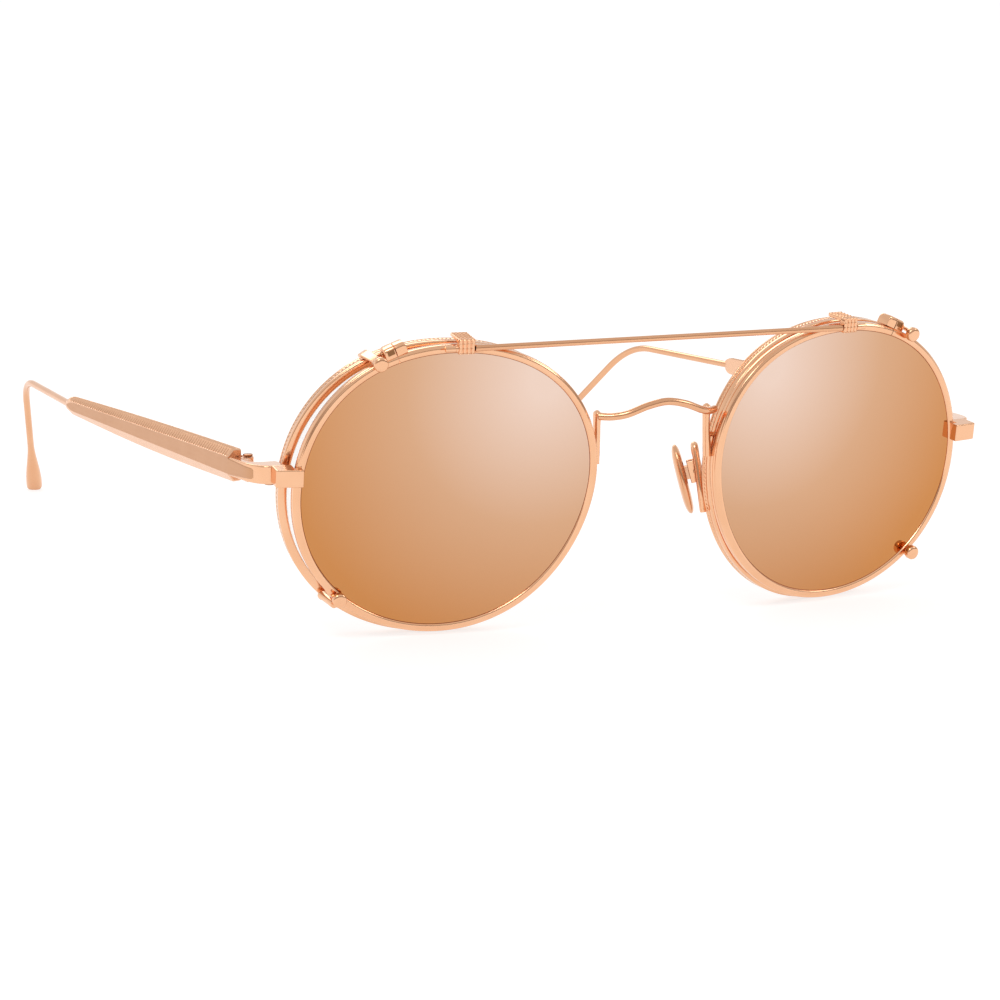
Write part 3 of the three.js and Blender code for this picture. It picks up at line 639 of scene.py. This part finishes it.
shaft = turned([(0.62, 0.3), (0.66, 1.0), (0.62, 1.8), (0.66, 3.0), (0.62, 4.2), (0.74, 4.7),
                (SHAFT_RADIUS, 5.0), (0.7, 5.25), (0.5, 5.4)], 36)
shaft = shaft.moved(Matrix.Rotation(-math.pi / 2, 4, "X"))
lower_claw = claw_head(LOWER_CLAW_RISE, LOWER_CLAW_ANGLE)
lower_claw = lower_claw + shaft.moved(claw_start(LOWER_CLAW_ANGLE, edge(LOWER_CLAW_ANGLE) + SHAFT_RISE))
pair("lower_claw", lower_claw.moved(CLIP), polished, "clip_on", ["lower_claw_{side}"])

lug_inner = edge(0) + CLIP_RIM_WIDTH - 1.2
lug_outer = lug_inner + LUG_WIDTH
behind_rim = edge(0) + CLIP_RIM_WIDTH - 0.1
lug_plan = [(lug_inner, -LUG_PROUD), (lug_outer - 0.6, -LUG_PROUD + 0.4), (lug_outer, -LUG_PROUD + LUG_SWEEP),
            (lug_outer, LUG_REAR), (behind_rim, LUG_REAR), (behind_rim, CLIP_FRONT + 0.1),
            (lug_inner, CLIP_FRONT + 0.1)]
lug = prism(lug_plan, LUG_BASE, LUG_BASE + LUG_HEIGHT)
pair("lug", lug.moved(CLIP), polished, "clip_on", ["lug_{side}"], 0.22)

lock_bottom = edge(LOCK_ANGLE) + CLIP_RIM_WIDTH - 0.05
lock_y = (CLIP_FRONT, CLIP_FRONT + LOCK_DEPTH)


def lock_half(end):
    """Half of the lock: a block rounded along its front and rear edges, thinner at its far end."""
    near, far = end * 0.06, end * LOCK_LENGTH / 2
    rings = []
    for x, scale in ((near, 1.0), (mix(near, far, 0.75), 1.0), (mix(near, far, 0.92), 0.94), (far, 0.78)):
        top = lock_bottom + (LOCK_HEIGHT + 0.25) * scale
        front, rear = lock_y
        soft = 0.6
        ring = [Vector((x, front, lock_bottom)), Vector((x, rear, lock_bottom))]
        ring += [Vector((x, rear - soft + soft * math.cos(a), top - soft + soft * math.sin(a)))
                 for a in (math.pi / 2 * k / 5 for k in range(6))]
        ring += [Vector((x, front + soft - soft * math.sin(a), top - soft + soft * math.cos(a)))
                 for a in (math.pi / 2 * k / 5 for k in range(6))]
        rings.append(ring)
    if end < 0:
        rings.reverse()
    return skin(rings)


for end, name in ((-1, "inner"), (1, "outer")):
    form = lock_half(end).moved(CLIP @ at(LOCK_ANGLE))
    pair(f"lock_{name}", form, polished, "clip_on", ["lock_%s_{side}" % name], 0.05)


recess_z = lock_bottom + LOCK_HEIGHT * 0.62
recess_y = (CLIP_FRONT - 0.02, CLIP_FRONT + 0.6)
# a dark plate on the lock's front face: painted shadow for the gap between its barrel and the rim
lock_painted_shade = block((0.2, LOCK_LENGTH / 2 - 0.45), recess_y, (recess_z - 0.38, recess_z + 0.42))
pair("lock_painted_shade", lock_painted_shade.moved(CLIP @ at(LOCK_ANGLE)), painted_recess_shade, "clip_on")


def slotted(radius, height):
    """A screw head along z with a driver slot across it, made of two halves on a disc."""
    low = height * 0.7
    head = turned([(radius * 0.9, 0), (radius, height * 0.15), (radius, low)], 32)
    gap = math.asin(0.16)
    for start in (gap, gap + math.pi):
        arc = [start + (math.pi - 2 * gap) * i / 14 for i in range(15)]
        rings = [[Vector((r * math.cos(a), r * math.sin(a), z)) for a in arc]
                 for r, z in ((radius, low - 0.01), (radius, height * 0.88), (radius * 0.85, height))]
        head = head + skin(rings)
    return head


lock_screw_at = Vector((0, CLIP_FRONT + LOCK_DEPTH / 2, lock_bottom + LOCK_HEIGHT / 2 + 0.1))
head = slotted(LOCK_SCREW_RADIUS * 1.7, 0.5)
head_at = lock_screw_at + Vector((LOCK_LENGTH / 2 - 0.1, 0, 0))
along_rim = Matrix.Translation(head_at) @ Matrix.Rotation(math.pi / 2, 4, "Y")
pair("lock_screw", head.moved(CLIP @ at(LOCK_ANGLE) @ along_rim), screw, "clip_on", ["lock_screw_{side}"])

# ---- Spectacle front --------------------------------------------------------------------------------


def base_section(angle):
    """Bright front band, a fine line and a milled band behind it, cut on a slant."""

    def milled(y):
        wave = max(math.sin(angle * KNURL_COUNT + y * 5.0), 0.0)
        return BASE_OUTER - KNURL_DEPTH * wave**2

    half = BASE_HALF_DEPTH
    line = -0.12
    return [(BASE_INNER, -half + 0.2), (BASE_INNER + 0.15, -half), (BASE_OUTER - 0.22, -half),
            (BASE_OUTER - 0.05, -half + 0.08), (BASE_OUTER, -half + 0.22), (BASE_OUTER, line - 0.1),
            (BASE_OUTER - 0.03, line - 0.03), (BASE_OUTER - 0.12, line), (BASE_OUTER - 0.12, line + 0.06),
            (BASE_OUTER - 0.02, line + 0.1), (milled(0.1), 0.1), (milled(0.3), 0.3), (milled(0.5), 0.5),
            (BASE_OUTER - 0.12, 0.6), (BASE_OUTER - 0.12, 0.66), (BASE_OUTER - 0.02, 0.72), (BASE_OUTER, 0.8),
            (BASE_OUTER - 0.06, half - 0.1), (BASE_OUTER - 0.2, half), (BASE_INNER + 0.15, half),
            (BASE_INNER, half - 0.2)]


base_rim = around_rim(base_section, KNURL_COUNT * 8)
pair("rim", base_rim.moved(BASE), polished, "front", ["base_rim_{side}"], sharp=50)
pair("demo_lens", disc(BASE_INNER + 0.02, -0.5, 0.5, 200).moved(BASE), clear, "front", ["clear_lens_{side}"])


def end_plan():
    """From behind the lug, round the corner and back to the hinge."""
    front_inner = CLIP @ Vector((edge(0) + CLIP_RIM_WIDTH + 0.3, LUG_REAR + 0.12, END_MIDDLE))
    front_outer = CLIP @ Vector((lug_outer, LUG_REAR + 0.12, END_MIDDLE))
    at_rim = BASE @ Vector((edge(0) + BASE_OUTER - 0.1, 0, END_MIDDLE))
    turn_from, turn_to = (front_outer.x, front_outer.y), (TONGUE_X - 0.2, END_CORNER_Y)
    pull = (TONGUE_X - 0.4, front_outer.y + 0.6)
    corner = [[curve(a, p, b, i / 12) for a, p, b in zip(turn_from, pull, turn_to)] for i in range(1, 13)]
    tongue_end = TEMPLE_START - 0.12
    inner = TONGUE_X - TONGUE_THICK
    begin, pull = (inner - 0.1, END_CORNER_Y + 1), (inner - 0.3, at_rim.y + 0.7)
    stop = (at_rim.x + 1.5, at_rim.y + 0.7)
    sweep = [[curve(a, p, b, i / 8) for a, p, b in zip(begin, pull, stop)] for i in range(1, 9)]
    return [(at_rim.x, front_inner.y), turn_from, *corner, (TONGUE_X, tongue_end), (inner, tongue_end),
            begin, *sweep, (at_rim.x, at_rim.y + 0.7)]


end_piece = prism(end_plan(), END_BOTTOM, END_BOTTOM + END_HEIGHT)
pair("end_piece", end_piece, polished, "front", ["end_piece_{side}"], 0.28)


def end_outline(y):
    """How far out the end piece's outer face lies at a depth behind its corner."""
    below = [p for p in end_plan()[1:] if p[1] <= TEMPLE_START]
    for (x0, y0), (x1, y1) in zip(below, below[1:]):
        if y0 <= y <= y1:
            return mix(x0, x1, (y - y0) / (y1 - y0))
    return TONGUE_X


def spear():
    """A raised flat that runs on from the temple's face, round the corner, to a blunt point."""
    section = ((-0.5, -1), (0.02, -1), (0.13, -0.88), (0.13, 0.88), (0.02, 1), (-0.5, 1))
    rear, point = TEMPLE_START - 0.14, 6.3
    rings = []
    steps = 40
    for i in range(steps + 1):
        t = i / steps
        y = mix(rear, point, t)
        blunt = math.sqrt(max(1 - ((t - 0.88) / 0.12) ** 2, 0.02)) if t > 0.88 else 1
        half = mix(1.3, 0.8, t) * blunt
        x = end_outline(y) - 0.2 * ease((t - 0.88) / 0.12)
        rings.append([Vector((x + out, y, END_MIDDLE + half * up)) for out, up in section])
    return skin([ring[::-1] for ring in rings])


pair("end_piece_flat", spear(), brushed_and_shade, "front", sharp=30)

rim_side = BASE @ Vector((edge(0) + BASE_OUTER, 0, END_MIDDLE))
head = slotted(0.75, 0.5)
under_end = Matrix.Translation((rim_side.x + 1.8, rim_side.y - 1.2, END_BOTTOM + 0.05))
head = head.moved(under_end @ Matrix.Rotation(math.pi, 4, "X"))
pair("end_screw", head, screw, "front", ["end_screw_{side}"])

knuckle_height = (HINGE_HEIGHT - 2 * KNUCKLE_GAP) / 3


def knuckle(level, to_rear, neck_outer):
    """A barrel of the hinge with the neck to its leaf."""
    low = HINGE_BOTTOM + level * (knuckle_height + KNUCKLE_GAP)
    barrel = peg(KNUCKLE_RADIUS, low, low + knuckle_height).moved(Matrix.Translation((PIN_X, HINGE_Y, 0)))
    ends = sorted((HINGE_Y, HINGE_Y + to_rear * (KNUCKLE_RADIUS + 0.6)))
    return barrel + block((PIN_X - 0.25, neck_outer), ends, (low + 0.02, low + knuckle_height - 0.02))


leaf_outer = TONGUE_X - TONGUE_THICK - 0.05
leaf_rear = HINGE_Y - KNUCKLE_RADIUS - 0.45
hinge_z = (HINGE_BOTTOM, HINGE_BOTTOM + HINGE_HEIGHT)
front_leaf = block((leaf_outer - LEAF_THICK - 0.2, leaf_outer), (leaf_rear - 2.4, leaf_rear), hinge_z)
front_leaf = front_leaf + knuckle(0, -1, leaf_outer) + knuckle(2, -1, leaf_outer)
pair("front_hinge_leaf", front_leaf, satin, "front", ["front_leaf_{side}"], 0.08)

head = slotted(PIN_RADIUS * 1.9, 0.35)
hinge_top = HINGE_BOTTOM + HINGE_HEIGHT
pin = peg(PIN_RADIUS, HINGE_BOTTOM - 0.1, hinge_top + 0.1)
pin = pin + head.moved(Matrix.Translation((0, 0, hinge_top + 0.05)))
pair("hinge_pin", pin.moved(Matrix.Translation((PIN_X, HINGE_Y, 0))), screw, "front", ["hinge_pin_{side}"])

half_bridge = [Vector((x * BRIDGE_HALF, BRIDGE_END[0] - bow * BRIDGE_BOW, BRIDGE_END[1] + rise * BRIDGE_RISE))
               for x, bow, rise in BRIDGE_SHAPE]
other_half = [Vector((-p.x, p.y, p.z)) for p in half_bridge[:0:-1]]
bridge = tube(spline(other_half + half_bridge, 14), BRIDGE_RADIUS, 32, 0.14)
place("bridge_wire", bridge, drawn, "front", ["bridge"])


def bridge_post():
    """A strap from behind the bridge down to a forked foot on the rim."""
    rings = []
    steps = 26
    rear = POST_FRONT_Y + POST_DEPTH
    for i in range(steps + 1):
        t = i / steps
        z = mix(POST_TOP, POST_BOTTOM, t)
        half = 0.55 - 0.14 * math.sin(math.pi * min(t * 1.25, 1))
        cap = math.sqrt(max(1 - ((0.09 - t) / 0.09) ** 2, 0.05)) if t < 0.09 else 1
        front = POST_FRONT_Y - 0.25 * ease((0.3 - t) / 0.3)
        middle, deep = (front + rear) / 2, (rear - front) / 2
        x = POST_X + 0.25 * ease((t - 0.4) / 0.6)
        ring = []
        for k in range(16):
            a = 2 * math.pi * k / 16
            c, s = math.cos(a), math.sin(a)
            ring.append(Vector((x + half * cap * math.copysign(abs(c) ** 0.5, c),
                                middle + deep * cap * math.copysign(abs(s) ** 0.5, s), z)))
        rings.append(ring[::-1])
    return skin(rings)


def foot_to_rim(z, y_shift):
    """A short curl from the post to the rim's nasal edge."""
    angle = math.pi - math.asin(z / 24.4)
    touch = BASE @ on_rim(angle, BASE_OUTER - 0.2, y_shift)
    start = Vector((POST_X + 0.1, POST_FRONT_Y + 0.75, z + 1.2))
    middle = Vector((mix(start.x, touch.x, 0.35), mix(start.y, touch.y, 0.5), z + 0.4))
    return tube(spline([start, middle, touch], 8), 0.42, 18, 0.08)


post = bridge_post() + foot_to_rim(5.6, 0.0) + foot_to_rim(2.7, 0.0)
pair("bridge_post_fine", post, polished, "front", ["bridge_post_{side}"])

# ---- Nose pads --------------------------------------------------------------------------------------

pad_wide = Vector((math.sin(PAD_SPLAY), math.cos(PAD_SPLAY), 0))
pad_level = Vector((-math.cos(PAD_SPLAY), math.sin(PAD_SPLAY), 0))
pad_up = Vector((0, 0, 1)) * math.cos(PAD_LEAN) + pad_level * math.sin(PAD_LEAN)
pad_away = pad_wide.cross(pad_up)
PAD = Matrix.Translation(PAD_CENTRE) @ Matrix((pad_wide, pad_up, pad_away)).transposed().to_4x4()


def pad_face():
    """An egg-shaped pad, crowned towards the nose and thin at its edge."""
    rows = 18
    sides = 64
    rings = []
    for i in range(rows + 1):
        t = math.pi * i / rows
        size = math.sin(t) ** 0.42 if 0 < i < rows else 0.02
        depth = -math.cos(t) * PAD_THICK / 2
        bow = -0.12 * (1 - size * size)
        ring = []
        for k in range(sides):
            a = 2 * math.pi * k / sides
            narrow = 1 - 0.10 * math.sin(a)
            ring.append(Vector((PAD_WIDTH / 2 * size * narrow * math.cos(a),
                                PAD_LENGTH / 2 * size * math.sin(a), depth + bow)))
        rings.append(ring)
    return skin(rings)


half_x = PAD_BOX[0] / 2
half_y = PAD_BOX[1] / 2
half_z = PAD_BOX[2] / 2
tab_half = half_x - PAD_BOX_WALL - 0.1
tab = block((-tab_half, tab_half), (PAD_BOX_Y - 1.1, PAD_BOX_Y + 1.1), (0.3, PAD_TO_BOX + 0.45))
pair("pad", pad_face().moved(PAD), drawn, "pad_{side}", ["nose_pad_{side}"], sharp=60)
pair("pad_tab", tab.moved(PAD), satin, "pad_{side}", soft=0.1)


def pad_box():
    """Two cheeks and a back, a box open towards the pad."""
    y = (PAD_BOX_Y - half_y, PAD_BOX_Y + half_y)
    near, far = PAD_TO_BOX - half_z, PAD_TO_BOX + half_z
    cheeks = block((-half_x, -half_x + PAD_BOX_WALL), y, (near, far))
    cheeks = cheeks + block((half_x - PAD_BOX_WALL, half_x), y, (near, far))
    return cheeks + block((-half_x + 0.1, half_x - 0.1), y, (far - PAD_BOX_WALL, far - 0.02))


pair("pad_holder", pad_box().moved(PAD), polished, "front", ["pad_box_{side}"], 0.1)
across_pad = Matrix.Translation((0, PAD_BOX_Y, PAD_TO_BOX)) @ Matrix.Rotation(math.pi / 2, 4, "Y")
pad_pin = peg(PAD_SCREW_RADIUS, -half_x - 0.1, half_x + 0.1)
pad_pin = pad_pin + peg(PAD_SCREW_RADIUS * 1.6, -half_x - 0.12, -half_x + 0.05)
pair("pad_pin", pad_pin.moved(PAD @ across_pad), screw, "front", ["pad_screw_{side}"])

foot_reach = edge(ARM_FOOT_ANGLE) + BASE_OUTER + ARM_RADIUS * 0.7
foot = BASE @ Vector((foot_reach * math.cos(ARM_FOOT_ANGLE), BASE_HALF_DEPTH,
                      foot_reach * math.sin(ARM_FOOT_ANGLE)))
box_top = PAD_BOX_Y + half_y
arm_end = PAD @ Vector((0, box_top - 0.05, PAD_TO_BOX + ARM_SETBACK))
above = PAD @ Vector((0, box_top + 0.3 + 2 * ARM_RADIUS, PAD_TO_BOX + ARM_SETBACK))
climb = Vector((foot.x - 0.4, foot.y + 0.6, (foot.z + above.z) / 2))
apex = Vector((above.x - 0.8, (climb.y + above.y) / 2, above.z + ARM_RISE))
arm_path = spline([foot, climb, apex, above, arm_end], 14)
arm_last = len(arm_path) - 1
arm_radii = [ARM_RADIUS * (0.98 + 0.1 * math.sin(math.pi * i / arm_last)) for i in range(arm_last + 1)]
pair("pad_arm_fine", tube(arm_path, arm_radii, 24, 0.1), polished, "front", ["pad_arm_{side}"])

# ---- Temples ----------------------------------------------------------------------------------------


def temple_outer(t):
    """How far out the temple's outer face lies, from 0 at the hinge to 1 at the wire."""
    return mix(TONGUE_X, TEMPLE_REAR_X + TEMPLE_THICKS[1] / 2, t)


def temple_bar():
    """A bevelled bar that tapers to the rear, its upper bevel milled into fine reeds, its rear end rounded."""
    per_reed = 8
    steps = REED_COUNT * per_reed
    rings = []
    for i in range(steps + 1):
        t = i / steps
        y = TEMPLE_START + t * TEMPLE_LENGTH
        half = mix(*TEMPLE_HEIGHTS, t) / 2
        thick = mix(*TEMPLE_THICKS, t)
        left = TEMPLE_LENGTH * (1 - t)
        close = math.sqrt(1 - (1 - left / 2.4) ** 2 * 0.80) if left < 2.4 else 1.0
        open_end = 0.9 + 0.1 * ease(TEMPLE_LENGTH * t / 0.3)
        half *= close * open_end
        centre = temple_outer(t) - thick / 2
        reach = thick / 2 * mix(1, close, 0.6)
        phase = (i % per_reed) / per_reed
        cut = REED_DEPTH * abs(1 - 2 * phase) * ease(left / 3) * ease(TEMPLE_LENGTH * t / 0.5)
        belly = math.sin(math.pi * t)
        above, below = half + 0.2 * belly, half + 0.5 * belly
        flat, crest = half * 0.52, centre + reach * 0.1
        rings.append([
            Vector((centre - reach, y, TEMPLE_MIDDLE - below + 0.1)),
            Vector((crest - 0.1, y, TEMPLE_MIDDLE - below)),
            Vector((crest, y, TEMPLE_MIDDLE - below)),
            Vector((centre + reach, y, TEMPLE_MIDDLE - flat)),
            Vector((centre + reach, y, TEMPLE_MIDDLE + flat)),
            Vector((centre + reach * 0.96, y, TEMPLE_MIDDLE + flat + 0.05)),
            Vector((centre + reach * 0.92 - cut, y, TEMPLE_MIDDLE + flat + 0.12)),
            Vector((crest + 0.1 - cut, y, TEMPLE_MIDDLE + above - 0.08 - cut)),
            Vector((crest - 0.1, y, TEMPLE_MIDDLE + above - cut)),
            Vector((centre - reach * 0.6, y, TEMPLE_MIDDLE + above - cut)),
            Vector((centre - reach, y, TEMPLE_MIDDLE + above - 0.1)),
        ])
    return skin([ring[::-1] for ring in rings])


pair("temple", temple_bar(), satin, "temple_{side}", ["temple_bar_{side}"], sharp=24)


def reed_valley_shade():
    """Dark strips of painted shade in the valleys between the reeds."""
    shade_strips = Form([], [])
    half_width = 0.17
    for i in range(2, REED_COUNT - 3):
        t = i / REED_COUNT
        y = TEMPLE_START + t * TEMPLE_LENGTH
        half = mix(*TEMPLE_HEIGHTS, t) / 2
        reach = mix(*TEMPLE_THICKS, t) / 2
        centre = temple_outer(t) - reach
        sunk = REED_DEPTH * 0.55
        low = (centre + reach * 0.92 - sunk, TEMPLE_MIDDLE + half * 0.52 + 0.12)
        crown = half + 0.2 * math.sin(math.pi * t)
        high = (centre + reach * 0.1 + 0.1 - sunk, TEMPLE_MIDDLE + crown - 0.08 - sunk)
        corners = [low, high, (high[0] - 0.3, high[1] - 0.3), (low[0] - 0.3, low[1] - 0.3)]
        shade_strips = shade_strips + skin([[Vector((x, y + side * half_width, z)) for x, z in corners]
                              for side in (1, -1)])
    return shade_strips


# the dark strips are painted shade in the reed valleys
pair("temple_reed_lines", reed_valley_shade(), brushed_and_shade, "temple_{side}")


def temple_face():
    """The brushed flat along the outer face, between the two bevels."""
    section = ((-0.3, -1), (0.0, -1), (0.03, -0.97), (0.03, 0.97), (0.0, 1), (-0.3, 1))
    rings = []
    steps = 40
    for i in range(steps + 1):
        t = i / steps
        y = mix(TEMPLE_START + 0.02, TEMPLE_START + TEMPLE_LENGTH - 1.0, t)
        along = (y - TEMPLE_START) / TEMPLE_LENGTH
        blunt = math.sqrt(max(1 - ((t - 0.95) / 0.05) ** 2, 0.04)) if t > 0.95 else 1
        half = mix(*TEMPLE_HEIGHTS, along) / 2 * 0.5 * blunt
        x = temple_outer(along)
        rings.append([Vector((x + out, y, TEMPLE_MIDDLE + half * up)) for out, up in section])
    return skin([ring[::-1] for ring in rings])


pair("temple_face", temple_face(), brushed_and_shade, "temple_{side}", sharp=30)


def heading(toe_in, drop):
    return Vector((-math.sin(toe_in) * math.cos(drop), math.cos(toe_in) * math.cos(drop), -math.sin(drop)))


def temple_wire():
    """Straight, then over the ear, then down to a round, thickened drop."""
    back, down = heading(WIRE_TOE_IN, 0), heading(EAR_TOE_IN, EAR_DROP)
    start = Vector((TEMPLE_REAR_X, TEMPLE_START + TEMPLE_LENGTH - 0.4, TEMPLE_MIDDLE))
    bend = start + back * (WIRE_STRAIGHT + 0.7)
    corner = bend + back * (EAR_BEND / 2)
    after = corner + down * (EAR_BEND / 2)
    tip = after + down * EAR_LENGTH
    path = [start + (bend - start) * (i / 20) for i in range(20)]
    path += [curve(bend, corner, after, i / 40) for i in range(40)]
    path += [after + (tip - after) * math.sin(math.pi / 2 * i / 60) for i in range(61)]
    radii = []
    for p in path:
        left = (tip - p).length
        swell = ease(1 - (left - TIP_RADIUS) / (TIP_LENGTH - TIP_RADIUS)) if left < TIP_LENGTH else 0
        radius = mix(WIRE_RADIUS, TIP_RADIUS, swell)
        if left < TIP_RADIUS:
            radius *= min((left + 0.02) / 0.5, 1.0) ** 0.4
        radii.append(radius)
    return tube(path, radii, 28, 0.0)


pair("temple_wire_fine", temple_wire(), drawn, "temple_{side}", ["temple_wire_{side}"], sharp=60)

leaf_outer = TONGUE_X - TEMPLE_THICKS[0] - 0.05
leaf_front = HINGE_Y + KNUCKLE_RADIUS + 0.39
temple_leaf = block((leaf_outer - LEAF_THICK, leaf_outer), (leaf_front, leaf_front + 3.6), hinge_z)
temple_leaf = temple_leaf + knuckle(1, 1, leaf_outer)
pair("temple_hinge_leaf", temple_leaf, satin, "temple_{side}", ["temple_leaf_{side}"], 0.08)

# ---- Floor, light and camera ------------------------------------------------------------------------

floor = bpy.data.objects.new("floor", bpy.data.meshes.new("floor"))
reach = 4.0
floor_corners = [(-reach, -reach, 0), (reach, -reach, 0), (reach, reach, 0), (-reach, reach, 0)]
floor.data.from_pydata(floor_corners, [], [[0, 1, 2, 3]])
floor.data.materials.append(shade("pale floor", floor_paint))
bpy.context.scene.collection.objects.link(floor)

world = bpy.data.worlds.new("studio")
bpy.context.scene.world = world
world.use_nodes = True
sky = world.node_tree
direction = make(sky, "ShaderNodeTexCoord", {}, {}, 0)
above_level = (direction.part(2) * 1.6 + 0.1).clamped()
behind = (direction.part(1) * 1.5 + 0.6).clamped()
low_light = behind.between((0.26, 0.19, 0.15, 1), (1.05, 1.05, 1.05, 1))
connect(sky, above_level.between(low_light, (0.78, 0.77, 0.76, 1)), sky.nodes["Background"].inputs["Color"])
sky.nodes["Background"].inputs["Strength"].default_value = 1.0


def softbox(name, position, target, size, power):
    """A square light that faces a point."""
    light = bpy.data.lights.new(name, "AREA")
    light.shape = "RECTANGLE"
    light.size, light.size_y = size
    light.energy = power
    lamp = bpy.data.objects.new(name, light)
    lamp.location = position
    lamp.rotation_euler = (Vector(target) - Vector(position)).to_track_quat("-Z", "Y").to_euler()
    bpy.context.scene.collection.objects.link(lamp)


softbox("key", (-0.5, -0.5, 0.9), (0, 0, 0.02), (0.4, 0.3), 2.2)
softbox("fill", (0.8, -0.5, 0.6), (0, 0, 0.02), (0.3, 0.3), 1.0)
softbox("rear", (0.1, 0.9, 0.7), (0, 0, 0.02), (0.7, 0.3), 1.5)

CAMERA_TURN = math.radians(-26.2)
CAMERA_HEIGHT = math.radians(9.548)
CAMERA_ROLL = math.radians(0.4291)
CAMERA_DISTANCE = 639.327
CAMERA_OFFSET = (22.98145, 4.32863)
CAMERA_LENS = 145.01
look = heading(CAMERA_TURN, CAMERA_HEIGHT)
level = Vector((math.cos(CAMERA_TURN), math.sin(CAMERA_TURN), 0))
upright = level.cross(look)
right = level * math.cos(CAMERA_ROLL) + upright * math.sin(CAMERA_ROLL)
top = upright * math.cos(CAMERA_ROLL) - level * math.sin(CAMERA_ROLL)
eye = -CAMERA_DISTANCE * look - CAMERA_OFFSET[0] * right - CAMERA_OFFSET[1] * top
camera = bpy.data.objects.new("camera", bpy.data.cameras.new("camera"))
camera.data.lens = CAMERA_LENS
camera.data.sensor_width = 36.0
camera.data.clip_start, camera.data.clip_end = 0.01, 50.0
axes = lean.to_3x3() @ Matrix((right, top, -look)).transposed()
camera.matrix_world = Matrix.Translation(PLACE @ eye) @ axes.to_4x4()
bpy.context.scene.collection.objects.link(camera)
bpy.context.scene.camera = camera
bpy.context.scene.view_settings.view_transform = "Standard"
